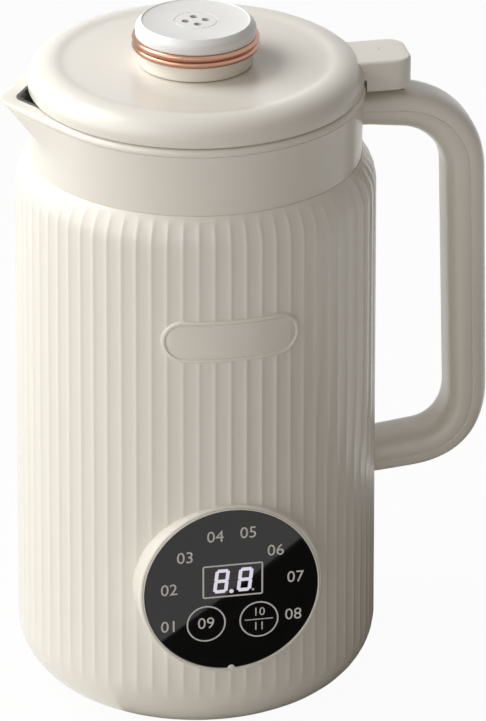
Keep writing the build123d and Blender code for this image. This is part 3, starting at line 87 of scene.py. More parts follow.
class JugCasingSizes(bpy.types.PropertyGroup):
    flutes: IntProperty(name="Flutes", description="Number of flutes round the casing", default=72, min=12)
    flute_depth: length("Flute depth", "How deep each flute is between its ridges", 0.0003)
    ridge_round: length("Ridge round", "Half the width of the rounding on each ridge", 0.0002)
    wall: length("Wall", "Thickness of the casing", 0.0022)
    badge_length: length("Badge pad length", "Length of the blank pill-shaped pad", 0.050)
    badge_height: length("Badge pad height", "Height of the blank pill-shaped pad", 0.0159)
    badge_level: length("Badge pad level", "Height of the pad's middle", 0.1618)
    bead_width: length("Bead width", "Width of the bead round the pad", 0.0016)
    bead_height: length("Bead height", "How far the bead stands off the pad", 0.0005)


class JugLidSizes(bpy.types.PropertyGroup):
    radius: length("Lid radius", "Radius of the lid's rim", 0.0601)
    crease: length("Crease radius", "Radius where the lid's round meets its top", 0.0508)
    wall: length("Wall", "Thickness of the lid", 0.0022)
    lug_half_width: length("Lug half width", "Half the width of the lug over the handle", 0.0108)
    lug_corner: length("Lug corner", "Plan radius of the lug's outer corners", 0.006)
    rim_round: length("Rim round", "Rounding along the collar's rim", 0.0022)


class JugHandleSizes(bpy.types.PropertyGroup):
    half_width: length("Half width", "Half the handle's width", 0.011)
    groove: length("Groove", "Width of the bevel on each half along the line where they meet", 0.00022)
    squareness: FloatProperty(name="Squareness", default=3.2, min=2.0,
                              description="Shape of the section, 2 for an oval")
    seam: FloatProperty(name="Seam place", default=0.12, min=-0.8, max=0.8,
                        description="Place of the line across the section, from -1 inside to 1 outside")


class JugKnobSizes(bpy.types.PropertyGroup):
    base_radius: length("Base radius", "Radius of the knob's base", 0.0204)
    cap_radius: length("Cap radius", "Radius of the knob's cap", 0.02165)
    bead_radius: length("Bead radius", "Radius of each metal bead's section", 0.00122)
    chamfer: length("Chamfer", "Width of the cap's chamfer", 0.0021)
    dish_radius: length("Dish radius", "Radius of the cap's shallow dish", 0.0191)
    hole_radius: length("Steam hole radius", "Radius of each steam hole", 0.00145)
    hole_circle: length("Steam hole circle", "Radius of the circle of steam holes", 0.0036)


class JugPanelSizes(bpy.types.PropertyGroup):
    lens_radius: length("Lens radius", "Radius of the black glass lens", 0.03175)
    rim_radius: length("Rim radius", "Outer radius of the rim round the lens", 0.0324)
    boss_radius: length("Boss radius", "Radius of the boss that carries the panel", 0.0335)
    boss_blend: length("Boss blend", "How far the boss's foot runs out on the casing", 0.0006)
    print_size: length("Print size", "Size of the printed numbers", 0.0064)
    digit_width: length("Digit width", "Width of a display digit", 0.0053)
    digit_height: length("Digit height", "Height of a display digit", 0.0095)
    stroke: length("Digit stroke", "Width of a display digit's bars", 0.0013)
    key_radius: length("Key ring radius", "Radius of each printed key ring", 0.0072)


class JugFinishes(bpy.types.PropertyGroup):
    cream: colour("Cream plastic", "Casing, collar, lid and handle", (0.87, 0.832, 0.75))
    white: colour("White plastic", "Steam knob's cap", (0.89, 0.89, 0.87))
    rose: colour("Rose gold", "Knob's metal beads", (0.44, 0.245, 0.17))
    steel: colour("Cup steel", "Cup, sensor and probe", (0.62, 0.57, 0.50))
    glass: colour("Panel glass", "Lens of the touch panel", (0.008, 0.008, 0.008))
    lit: colour("Lit digits", "Glow of the lit digits", (0.80, 0.75, 0.87))
    ink: colour("Panel print", "Numbers and key rings", (0.70, 0.69, 0.66))
    floor: colour("Floor", "Plain floor under the jug", (0.85, 0.84, 0.82))


class JugStage(bpy.types.PropertyGroup):
    key_power: FloatProperty(name="Key light", description="Power of the large soft light on the left, in watts",
                             default=28.5, min=0.0)
    rim_power: FloatProperty(name="Rim light", description="Power of the light on the left behind the jug, in watts",
                             default=6.0, min=0.0)
    front_power: FloatProperty(name="Front light", description="Power of the wide light in front, in watts",
                               default=4.0, min=0.0)
    top_power: FloatProperty(name="Top light", description="Power of the light over the lid's left, in watts",
                             default=1.5, min=0.0)
    air: FloatProperty(name="Room light", description="Strength of the even light of the room", default=0.16, min=0.0)


SIZE_GROUPS = {
    "jug_casing": JugCasingSizes,
    "jug_lid": JugLidSizes,
    "jug_handle": JugHandleSizes,
    "jug_knob": JugKnobSizes,
    "jug_panel": JugPanelSizes,
    "jug_finishes": JugFinishes,
    "jug_stage": JugStage,
}


# Bench: how pieces are started, shaped and finished


def clear():
    """Leaves edit mode and deselects everything."""
    if bpy.context.object and bpy.context.object.mode != "OBJECT":
        bpy.ops.object.mode_set(mode="OBJECT")
    bpy.ops.object.select_all(action="DESELECT")


def begin(name, scale=(1, 1, 1)):
    """Names the primitive just added, puts its place and scale in its mesh and opens it for editing."""
    piece = bpy.context.object
    piece.name = piece.data.name = name
    piece.scale = scale
    bpy.ops.object.transform_apply(location=True, rotation=True, scale=True)
    bpy.ops.object.mode_set(mode="EDIT")
    bpy.ops.mesh.select_all(action="SELECT")
    return piece


def pick(kind, test):
    """Selects the points or the faces of the piece in hand whose middle passes the test."""
    bpy.ops.mesh.select_mode(type=kind)
    bpy.ops.mesh.select_all(action="DESELECT")
    mesh = bmesh.from_edit_mesh(bpy.context.object.data)
    if kind == "VERT":
        for point in mesh.verts:
            point.select_set(test(point.co))
    else:
        for face in mesh.faces:
            if test(face.calc_center_median()):
                face.select_set(True)
    mesh.select_flush_mode()
    bmesh.update_edit_mesh(bpy.context.object.data)


def near(place):
    """A test for a point at a place."""
    return lambda co: (co - place).length < MERGE


def smooth(piece, angle=30.0):
    """Smooth shading, with edges sharper than the angle left crisp."""
    clear()
    piece.select_set(True)
    bpy.context.view_layer.objects.active = piece
    bpy.ops.object.shade_smooth_by_angle(angle=radians(angle))


def close(piece, angle=30.0):
    """Merges doubles, turns the faces outwards and shades the piece."""
    bpy.ops.mesh.select_all(action="SELECT")
    bpy.ops.mesh.remove_doubles(threshold=MERGE)
    bpy.ops.mesh.normals_make_consistent(inside=False)
    smooth(piece, angle)
    return piece


def modify(piece, kind, **settings):
    """Adds a modifier and applies it."""
    clear()
    piece.select_set(True)
    bpy.context.view_layer.objects.active = piece
    modifier = piece.modifiers.new(kind.title(), kind)
    for name, value in settings.items():
        setattr(modifier, name, value)
    bpy.ops.object.modifier_apply(modifier=modifier.name)


def cut(piece, cutter):
    """Takes the cutter's shape out of the piece and removes the cutter."""
    modify(piece, "BOOLEAN", object=cutter, operation="DIFFERENCE", solver="EXACT")
    bpy.data.objects.remove(cutter, do_unlink=True)


def profile(name, corners, seat):
    """A line of edges through corners given as (radius, level, rounding), placed by seat(radius, level)."""
    clear()
    first = seat(corners[0][0], corners[0][1])
    bpy.ops.mesh.primitive_plane_add(size=MM, location=first)
    piece = begin(name)
    bpy.ops.mesh.merge(type="CENTER")
    bpy.ops.mesh.select_mode(type="VERT")
    for start, end in zip(corners, corners[1:]):
        step = seat(end[0], end[1]) - seat(start[0], start[1])
        bpy.ops.mesh.extrude_region_move(TRANSFORM_OT_translate={"value": step})
    for corner in corners:
        if len(corner) > 2 and corner[2] > 0:
            pick("VERT", near(seat(corner[0], corner[1])))
            bpy.ops.mesh.bevel(offset=corner[2] * MM, segments=4, affect="VERTICES", offset_type="OFFSET")
    return piece


def turned(name, corners, sides=144, angle=30.0):
    """A piece turned about the jug's axis, from corners in millimetres."""
    piece = profile(name, corners, lambda radius, level: Vector((radius, 0, level)) * MM)
    bpy.ops.mesh.select_all(action="SELECT")
    bpy.ops.mesh.spin(steps=sides, angle=FULL_TURN, center=(0, 0, 0), axis=(0, 0, 1))
    return close(piece, angle)


def faced(name, corners, sides=128):
    """A piece turned about the panel's middle line, from corners in millimetres given as radius and y."""
    piece = profile(name, corners, lambda radius, y: Vector((radius, y, LENS_Z)) * MM)
    bpy.ops.mesh.select_all(action="SELECT")
    bpy.ops.mesh.spin(steps=sides, angle=FULL_TURN, center=(0, 0, LENS_Z * MM), axis=(0, 1, 0))
    return close(piece)


def arc(centre, radii, start, end, steps):
    """Corners along part of an ellipse, its angles in degrees."""
    corners = []
    for index in range(steps + 1):
        angle = radians(start + (end - start) * index / steps)
        corners.append((centre[0] + radii[0] * cos(angle), centre[1] + radii[1] * sin(angle)))
    return corners


def stacked(name, rings):
    """A skin over rings of as many points each, in millimetres: a circle extruded ring by ring."""
    clear()
    bpy.ops.mesh.primitive_circle_add(vertices=len(rings[0]), radius=10 * MM, location=(0, 0, 0))
    piece = begin(name)
    bpy.ops.mesh.select_mode(type="VERT")
    for index, ring in enumerate(rings):
        if index:
            bpy.ops.mesh.extrude_region_move(TRANSFORM_OT_translate={"value": (0, 0, MM)})
        mesh = bmesh.from_edit_mesh(piece.data)
        mesh.verts.ensure_lookup_table()
        points = [point for point in mesh.verts if point.select]
        for point, place in zip(points, ring):
            point.co = Vector(place) * MM
        bmesh.update_edit_mesh(piece.data)
    return piece


def fill_ends(piece):
    """Closes the open ends of a skin."""
    bpy.ops.mesh.select_all(action="SELECT")
    bpy.ops.mesh.remove_doubles(threshold=MERGE)
    bpy.ops.mesh.select_all(action="SELECT")
    bpy.ops.mesh.fill_holes(sides=0)
    return piece


def coat(piece, material):
    """Gives a piece one finish all over."""
    piece.data.materials.clear()
    piece.data.materials.append(bpy.data.materials[material])


def finish_piece(piece, node, material):
    """Gives a piece its finish, and makes it stand for its node and ride on that node's body."""
    coat(piece, material)
    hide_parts(node)
    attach(piece, BODY_OF[node])


BODY_OF = {node: body for body, nodes in frame["record"]["behaviour"]["bodies"].items() for node in nodes}
SLOT_OF = {part["node"]: part["material_slot"] for part in frame["record"]["subparts"]}


# Casing

BOTTOM_ROUND = 22.7
ROUND_TOP = 24.2        # level where the bottom's round meets the side
NECK_R = 59.8
NECK_BORE_R = 57.4
CASING_FOOT = ((47.3, 4.5), (47.3, 2.3))    # radius and level of the inner edge under the bottom
RIDGE_SOFTEN = 0.09     # rounding of a ridge under the boss's foot, as a share of half a flute
FLUTE_POWER = 3.2       # how fast a flute deepens from its ridge
FLUTE_TOP = 207.3
FLUTE_TOP_FADE = 3.0    # height over which a flute runs out at the top
FLUTE_TOP_ARCH = 0.8    # how much lower it ends beside its ridges than in its middle
FLUTE_TOP_POWER = 0.8
FLUTE_FOOT = 15.5
FLUTE_FOOT_FADE = 13.0
FLUTE_FOOT_ARCH = 2.5
FLUTE_COLUMNS = (0.0, 0.05, 0.125, 0.24, 0.37, 0.5, 0.63, 0.76, 0.875, 0.95, 1.0)   # from ridge to ridge
# Levels of the casing's rings, close together at the bottom, at the inlet's edges and where the flutes run out
CASING_LEVELS = (2.22, 2.9, 4.2, 6.0, 8.2, 10.6, 13.0, 15.2, 17.2, 19.0, 20.6, 22.2, 24.2, 26.2,
                 28.5, 33.15, 33.8, 34.8, 36.4, 38.8, 44, 49.2, 51.6, 53.2, 54.2, 54.85,
                 60, 66, 72, 78, 84, 90, 97, 130, 165, 185,
                 196, 198, 200, 201.8, 203.2, 204.4, 205.3, 206.0, 206.6, 207.1, 207.8)
PANEL_BORE_R = 29.5     # opening behind the panel's boss
INLET_Z = 44.0
INLET_HALF_X = 14.85
INLET_HALF_Z = 10.85
INLET_CORNER = 5.0
INLET_REACH = 14.0      # open edges this near the inlet's level are the inlet's
CASING_SHARP = 50       # degrees


def ridge_radius(z):
    """Radius of the casing's ridges at a height, in millimetres."""
    return RIDGE_R + RIDGE_FLARE * (SHOULDER_Z - z) / (SHOULDER_Z - ROUND_TOP)


def form_radius(z):
    """Radius of the casing's smooth form at a height, in millimetres."""
    if z < ROUND_TOP:
        below = ROUND_TOP - z
        return RIDGE_R + RIDGE_FLARE - BOTTOM_ROUND + sqrt(max(BOTTOM_ROUND ** 2 - below ** 2, 0.0))
    if z > SHOULDER_Z:
        step, rise = RIDGE_R - NECK_R, NECK_Z - SHOULDER_Z
        bend = (step ** 2 + rise ** 2) / (2 * step)
        return RIDGE_R - bend + sqrt(bend ** 2 - (z - SHOULDER_Z) ** 2)
    return ridge_radius(z)


def ramp(value):
    """A soft step from 0 to 1."""
    value = min(max(value, 0.0), 1.0)
    return value * value * (3 - 2 * value)


def fluted_radius(z, angle, flutes, depth, soften=RIDGE_SOFTEN):
    """Radius of the casing's surface at a height and an angle, in millimetres; soften rounds the ridges."""
    half = pi / flutes
    share = 1 - abs((angle % (2 * half)) - half) / half
    reach = (hypot(share, soften) - soften) / (hypot(1, soften) - soften)
    groove = 1 - (1 - reach) ** FLUTE_POWER
    arch = (1 - share) ** 2
    top = min(max((FLUTE_TOP - FLUTE_TOP_ARCH * arch - z) / FLUTE_TOP_FADE, 0.0), 1.0) ** FLUTE_TOP_POWER
    low = ramp((z - FLUTE_FOOT - FLUTE_FOOT_ARCH * arch) / FLUTE_FOOT_FADE)
    return form_radius(z) - depth * groove * top * low


def inlet_edge(x, z):
    """The point of the inlet opening's rounded outline next to a point, both from its middle, in millimetres."""
    side_x, side_z = (1 if x > 0 else -1), (1 if z > 0 else -1)
    flat_x, flat_z = INLET_HALF_X - INLET_CORNER, INLET_HALF_Z - INLET_CORNER
    over_x, over_z = abs(x) - flat_x, abs(z) - flat_z
    if over_x > 0 and over_z > 0:
        reach = hypot(over_x, over_z)
        return side_x * (flat_x + over_x * INLET_CORNER / reach), side_z * (flat_z + over_z * INLET_CORNER / reach)
    if INLET_HALF_X - abs(x) < INLET_HALF_Z - abs(z):
        return side_x * INLET_HALF_X, z
    return x, side_z * INLET_HALF_Z


def in_inlet(co):
    """True for a place inside the inlet's opening."""
    x, y, z = (value / MM for value in co)
    over_x = max(abs(x) - (INLET_HALF_X - INLET_CORNER), 0.0)
    over_z = max(abs(z - INLET_Z) - (INLET_HALF_Z - INLET_CORNER), 0.0)
    return y > 0 and hypot(over_x, over_z) < INLET_CORNER


def behind_panel(co):
    """True for a place on the casing behind the touch panel."""
    return co.y < 0 and hypot(co.x, co.z - LENS_Z * MM) < PANEL_BORE_R * MM


class JUG_OT_casing(bpy.types.Operator):
    """Models the fluted casing with its panel and inlet openings"""
    bl_idname = "jug.casing"
    bl_label = "Casing"

    def execute(self, context):
        sizes = context.scene.jug_casing
        depth = sizes.flute_depth / MM
        step = FULL_TURN / sizes.flutes
        soften = sizes.ridge_round / MM / (RIDGE_R * step / 2)
        clear()
        # One flute is a strip of faces; it is turned on round the axis until the casing closes.
        faces, rows = len(FLUTE_COLUMNS) - 1, len(CASING_FOOT) + len(CASING_LEVELS)
        bpy.ops.mesh.primitive_grid_add(x_subdivisions=faces, y_subdivisions=rows, size=1)
        casing = begin("casing")
        mesh = bmesh.from_edit_mesh(casing.data)
        for point in mesh.verts:
            across = FLUTE_COLUMNS[round((point.co.x + 0.5) * faces)] * step
            row = round((point.co.y + 0.5) * rows)
            if row < len(CASING_FOOT):
                radius, z = CASING_FOOT[row]
            elif row < rows:
                z = CASING_LEVELS[row - len(CASING_FOOT)]
                radius = fluted_radius(z, across, sizes.flutes, depth, soften)
            else:
                radius, z = NECK_BORE_R, NECK_Z
            point.co = Vector((radius * cos(across), radius * sin(across), z)) * MM
        bmesh.update_edit_mesh(casing.data)
        bpy.ops.mesh.select_all(action="SELECT")
        bpy.ops.mesh.spin(steps=sizes.flutes, angle=FULL_TURN, center=(0, 0, 0), axis=(0, 0, 1), dupli=True)
        close(casing)
        bpy.ops.object.mode_set(mode="EDIT")
        for opening in (behind_panel, in_inlet):
            pick("FACE", opening)
            bpy.ops.mesh.delete(type="FACE")
        mesh = bmesh.from_edit_mesh(casing.data)
        for point in mesh.verts:
            x, y, z = (value / MM for value in point.co)
            if point.is_boundary and y > 0 and abs(z - INLET_Z) < INLET_REACH:
                x, z = inlet_edge(x, z - INLET_Z)
                z += INLET_Z
                radius = fluted_radius(z, atan2(y, x), sizes.flutes, depth, soften)
                point.co = Vector((x, sqrt(radius ** 2 - x ** 2), z)) * MM
        bmesh.update_edit_mesh(casing.data)
        modify(casing, "SOLIDIFY", thickness=sizes.wall, offset=-1.0)
        smooth(casing, CASING_SHARP)
        finish_piece(casing, "outer_shell", "cream plastic")
        return {"FINISHED"}


# Badge pad

BADGE_X = 0.6
PAD_DEPTH = 2.0         # how far the pad reaches into the casing
PAD_PROUD = 0.25
PAD_CUTS = 17           # upright cuts to each side of the middle, along which the pad bends round the casing
PAD_CUT_STEP = 1.45
CUT_SHIFT = 1e-5        # metres; keeps the cuts off the pad's own points
# From the bead's foot inwards: width and rise of each step, as shares of the bead's own
BEAD_STEPS = ((0.0, 0.4), (0.08, 0.3), (0.17, 0.2), (0.22, 0.1), (0.2, -0.1), (0.1, -0.4), (0.06, -0.6),
              (0.1, -0.2), (0.1, 0.35))


class JUG_OT_badge_pad(bpy.types.Operator):
    """Models the blank pill-shaped pad and its bead"""
    bl_idname = "jug.badge_pad"
    bl_label = "Badge pad"

    def execute(self, context):
        sizes = context.scene.jug_casing
        level = sizes.badge_level
        ridge = ridge_radius(level / MM) * MM
        clear()
        bpy.ops.mesh.primitive_plane_add(size=1, location=(BADGE_X * MM, 0, level), rotation=(pi / 2, 0, 0))
        pad = begin("badge_pad", (sizes.badge_length, sizes.badge_height, 1))
        bpy.ops.mesh.bevel(offset=sizes.badge_height / 2 - MERGE, segments=14, affect="VERTICES")
        bpy.ops.mesh.remove_doubles(threshold=MERGE * 4)
        bpy.ops.mesh.select_mode(type="FACE")
        bpy.ops.mesh.select_all(action="SELECT")
        bpy.ops.mesh.extrude_region_move(TRANSFORM_OT_translate={"value": (0, -PAD_DEPTH * MM, 0)})
        for share, lift in BEAD_STEPS:
            bpy.ops.mesh.inset(thickness=max(sizes.bead_width * share, 1e-6), use_even_offset=True)
            bpy.ops.transform.translate(value=(0, -sizes.bead_height * lift, 0))
        for index in range(-PAD_CUTS, PAD_CUTS + 1):
            bpy.ops.mesh.select_all(action="SELECT")
            bpy.ops.mesh.bisect(plane_co=(index * PAD_CUT_STEP * MM + CUT_SHIFT, 0, level), plane_no=(1, 0, 0))
        bpy.ops.object.mode_set(mode="OBJECT")
        for point in pad.data.vertices:
            x, y, z = point.co
            skin = ridge + PAD_PROUD * MM - PAD_DEPTH * MM - y
            point.co.y = -sqrt(skin ** 2 - x ** 2)
        bpy.ops.object.mode_set(mode="EDIT")
        close(pad, CRISP)
        finish_piece(pad, "outer_shell", "cream plastic")
        return {"FINISHED"}


# Collar

COLLAR_R = 59.6
RIM_R = 60.8
LIP_Z = 219.5           # where the pouring lip starts
LIP_TIP_R = 7.9
LIP_CENTRE = 63.1       # distance of the lip's round end from the axis
LIP_SET_BACK = 0.8      # how far the lip's inner edge stands back
LIP_FULLER = 2.4        # how much rounder the inner edge is
LIP_SPARE = 0.5
LAND_START = 2.3        # from here to here, as insets, the outline turns from the outer to the inner edge's
LAND_END = 4.0
COLLAR_WALL = 4.2
RIM_STEPS = 80          # steps along half the rim, along one side of the lip and round its end
LIP_SIDE_STEPS = 12
LIP_END_STEPS = 20
# Sections as (inset from the outer face, level): up the collar's outside, over its land and down its inside, and
# round the seal's lip, which lies over the cup's edge
COLLAR_OUTSIDE = ((2.4, 206.0), (2.4, NECK_Z), (0.15, NECK_Z), (0.04, NECK_Z + 0.04), (0.0, NECK_Z + 0.15),
                  (0.0, 208.5), (0.1, 211), (0.2, 215), (0.32, LIP_Z), (0.32, 222), (0.32, 225), (0.32, 228),
                  (0.32, 230.2), (0.62, 230.4), (0.62, 230.65), (0.27, 230.75), (0.05, 230.85))
COLLAR_INSIDE = ((5.0, RIM_Z), (5.2, RIM_Z - 0.04), (5.25, RIM_Z - 0.12), (5.2, RIM_Z - 0.18),
                 (COLLAR_WALL, RIM_Z - 0.2), (COLLAR_WALL, 230.5), (COLLAR_WALL, 225), (COLLAR_WALL, LIP_Z))
SEAL_LIP = ((5.35, RIM_Z + 0.02), (5.4, RIM_Z + 0.12), (5.7, RIM_Z + 0.16), (6.2, RIM_Z + 0.16),
            (6.5, RIM_Z + 0.12), (6.55, RIM_Z + 0.02))
COLLAR_SHARP = 35       # degrees


def outline_with_lip(inset, z):
    """Points round the rim with its pouring lip, drawn in by inset, and a little more at the lip's inner edge."""
    inner = ramp((inset - LAND_START) / (LAND_END - LAND_START))
    spare = LIP_SPARE * max(min(inset, COLLAR_WALL - inset), 0.0)
    radius, tip = RIM_R - inset, LIP_TIP_R - inset + LIP_FULLER * inner + spare
    centre = LIP_CENTRE - LIP_SET_BACK * inner - LIP_FULLER * inner
    spread = pi - acos((radius - tip) / centre)
    rim = [(radius * cos(angle), radius * sin(angle), z)
           for angle in (spread * (index / RIM_STEPS - 1) for index in range(2 * RIM_STEPS + 1))]
    turns = [spread + (FULL_TURN - 2 * spread) * index / LIP_END_STEPS for index in range(LIP_END_STEPS + 1)]
    end = [(tip * cos(angle) - centre, tip * sin(angle), z) for angle in turns]
    (from_x, from_y, _), (to_x, to_y, _) = rim[-1], end[0]
    shares = [index / LIP_SIDE_STEPS for index in range(1, LIP_SIDE_STEPS)]
    side = [(from_x + (to_x - from_x) * share, from_y + (to_y - from_y) * share, z) for share in shares]
    return rim + side + end + [(x, -y, z) for x, y, z in reversed(side)]


def outline_round(radius, z):
    """Points round a circle, one for each point of the rim with its lip."""
    wide = pi - acos((RIM_R - LIP_TIP_R) / LIP_CENTRE)
    narrow = (wide + pi) / 2
    side = [wide + (narrow - wide) * index / LIP_SIDE_STEPS for index in range(1, LIP_SIDE_STEPS)]
    angles = [wide * (index / RIM_STEPS - 1) for index in range(2 * RIM_STEPS + 1)] + side
    angles += [narrow + (FULL_TURN - 2 * narrow) * index / LIP_END_STEPS for index in range(LIP_END_STEPS + 1)]
    angles += [FULL_TURN - angle for angle in reversed(side)]
    return [(radius * cos(angle), radius * sin(angle), z) for angle in angles]


def waist_radius(z):
    """Radius of the collar's round part at a height."""
    return COLLAR_R + (RIM_R - COLLAR_R) * (z - NECK_Z) / (RIM_Z - NECK_Z)


def collar_ring(inset, z):
    """Points round the collar at a height, drawn in by inset: round below, with the lip growing above."""
    if z <= LIP_Z:
        return outline_round(waist_radius(z) - inset, z)
    share = min((z - LIP_Z) / (RIM_Z - LIP_Z), 1.0)
    low, high = outline_round(waist_radius(LIP_Z) - inset, z), outline_with_lip(inset, z)
    return [tuple(a + (b - a) * share for a, b in zip(p, q)) for p, q in zip(low, high)]


def collar_skin(name, section):
    """A closed piece round the collar, from its section."""
    rings = [collar_ring(inset, z) for inset, z in section]
    return close(stacked(name, rings + rings[:1]), COLLAR_SHARP)


class JUG_OT_collar(bpy.types.Operator):
    """Models the smooth collar with its pouring lip, and the seal's lip in it"""
    bl_idname = "jug.collar"
    bl_label = "Collar"

    def execute(self, context):
        rim_round = context.scene.jug_lid.rim_round / MM
        rim = arc((rim_round, RIM_Z - rim_round), (rim_round, rim_round), 180, 90, 8)
        finish_piece(collar_skin("collar_skin", [*COLLAR_OUTSIDE, *rim, *COLLAR_INSIDE]), "collar", "cream plastic")
        finish_piece(collar_skin("seal_lip", SEAL_LIP), "cup_seal", "rubber")
        return {"FINISHED"}


# Lid

LID_SHOULDER = 236.1    # where the lid's edge turns into its round
LID_TOP = 243.3
LID_FOOT = 0.15         # how far the lid's edge reaches below its underside
LID_FOOT_ROUND = 0.3
LID_CREST = ((1.0, 243.22), (2.0, 242.98), (3.0, 242.72), (4.0, 242.56), (6, 242.45))  # inset from the crease, level
# Radius, level and rounding of the dish's corners, in to the knob's hole
LID_DISH = ((36, 242.25), (28, 242.05), (21.4, 241.95), (15.6, 241.9, 0.3), (15.6, 239.9))
LUG_Z = 229.5           # underside of the lug
LUG_TOP = 240.9
LUG_REACH = 77.5
LUG_BORE_R = 61.3       # the lug's inner end clears the collar below the lid,
LUG_ROOT = 52.0         # and runs into the lid above
LUG_ROUND = 1.1
LUG_STEPS = 12          # steps along a side and round a corner
LUG_END_STEPS = 8       # steps across the inner end
# Inset and level of the rings from the lug's underside up to the lid, and insets of the rings on its top
LUG_FOOT = ((2.5, LUG_Z), (0.6, LUG_Z), (0.25, LUG_Z + 0.07), (0.07, LUG_Z + 0.25), (0.0, LUG_Z + 0.6),
            (0.0, LID_Z + 0.3))
LUG_TOP_INSETS = (3.0, 6.0, 9.0)
MARK_X = 66.4
MARK_Y = 2.2
MARK_ROUND = 0.3
MARK_RINGS = ((1.5, -0.3), (1.5, 0.1), (1.42, 0.2), (1.2, 0.22))    # size, and level over the lug's top
LID_SIDES = 192
LID_SHARP = 35          # degrees


def lug_outline(inset, half, corner, z, bored):
    """Points round the lug's plan at a level, drawn in by inset."""
    def root(y):
        return sqrt(LUG_BORE_R ** 2 - y ** 2) if bored else LUG_ROOT

    radius, drawn = max(corner - inset, 0.0), max(inset - corner, 0.0)
    reach, near_side = LUG_REACH - corner - drawn, root(half - inset)
    side = [near_side + (reach - near_side) * index / LUG_STEPS for index in range(LUG_STEPS)]
    points = [(x, inset - half, z) for x in side]
    for turn, across in ((-90, -1), (0, 1)):
        for index in range(LUG_STEPS + 1):
            angle = radians(turn + 90 * index / LUG_STEPS)
            points.append((reach + radius * cos(angle), across * (half - corner - drawn) + radius * sin(angle), z))
    points += [(x, half - inset, z) for x in reversed(side)]
    for index in range(1, LUG_END_STEPS):
        y = (half - inset) * (1 - 2 * index / LUG_END_STEPS)
        points.append((root(y), y, z))
    return points


def rounded_triangle(size, z):
    """Points round a small triangle with round corners that points at the lid."""
    points = []
    for corner in range(3):
        middle = radians(180 + 120 * corner)
        for index in range(9):
            angle = middle + radians(-60 + 120 * index / 8)
            points.append((MARK_X + (size - MARK_ROUND) * cos(middle) + MARK_ROUND * cos(angle),
                           MARK_Y + (size - MARK_ROUND) * sin(middle) + MARK_ROUND * sin(angle), z))
    return points


class JUG_OT_lid(bpy.types.Operator):
    """Models the lid, the lug over the handle and the lug's raised mark"""
    bl_idname = "jug.lid"
    bl_label = "Lid"

    def execute(self, context):
        sizes = context.scene.jug_lid
        radius, crease, wall = sizes.radius / MM, sizes.crease / MM, sizes.wall / MM
        spread, rise = radius - crease, LID_TOP - LID_SHOULDER
        corners = [(radius - wall, LID_Z), (radius, LID_Z - LID_FOOT, LID_FOOT_ROUND)]
        corners += arc((crease, LID_SHOULDER), (spread, rise), 0, 90, 24)
        corners += [(crease - inset, level) for inset, level in LID_CREST]
        corners += LID_DISH
        corners += arc((crease, LID_SHOULDER), (spread - wall, rise - wall), 90, 0, 12)
        corners.append((radius - wall, LID_Z))
        finish_piece(turned("lid_skin", corners, sides=LID_SIDES, angle=LID_SHARP), "lid_cover", "cream plastic")
        half, corner = sizes.lug_half_width / MM, sizes.lug_corner / MM
        rings = [lug_outline(inset, half, corner, z, True) for inset, z in LUG_FOOT]
        top = [LUG_FOOT[-1], *arc((LUG_ROUND, LUG_TOP - LUG_ROUND), (LUG_ROUND, LUG_ROUND), 180, 90, 6)]
        top += [(inset, LUG_TOP) for inset in LUG_TOP_INSETS]
        rings += [lug_outline(inset, half, corner, z, False) for inset, z in top]
        lug = close(fill_ends(stacked("lid_lug", rings)), CRISP)
        finish_piece(lug, "lid_cover", "cream plastic")
        rings = [rounded_triangle(size, LUG_TOP + level) for size, level in MARK_RINGS]
        mark = close(fill_ends(stacked("lid_mark", rings)), CRISP)
        finish_piece(mark, "lid_cover", "cream plastic")
        return {"FINISHED"}


# Handle

# The handle's outer and inner outlines: level and slope of the top arm, reach and lean of the grip, level and slope of
# the lower arm, then how far each round corner runs along its two sides, and how full it is
HANDLE_OUTSIDE = (227.184, 0.028, 106.769, -0.024, 75.835, 0.089, (37.1, 33.6, 0.617), (29.8, 29.3, 0.639))
HANDLE_INSIDE = (215.162, -0.121, 92.102, -0.03, 88.784, 0.121, (15.9, 17.1, 0.532), (14.1, 10.9, 0.601))
TOP_ARM_X = 60          # the top arm's level is taken here,
LOW_ARM_X = 66          # the lower arm's here,
GRIP_Z = 150            # and the grip's reach at this level
ARM_ROOT = 60.6         # where the arms start
LOW_ARM_ROOT = 66.6
COLLAR_SEAT_R = 59.9    # round ends of the arms, in the collar and in the casing
CASING_SEAT_R = 65.4
ARM_STEPS = 10
GRIP_STEPS = 12
BEND_STEPS = 24
SECTION_STEPS = 40
SEAM_MARGIN = 0.02      # radians between each half's section and the seam
SEAM_DEPTH = 0.035      # how far the groove's bottom lies from the seam in each half
POCKET_PLACE = (71.2, 0, 224.65)        # the socket's pocket for the lug
POCKET_SIZE = (8.6, 9.7, 14.7)


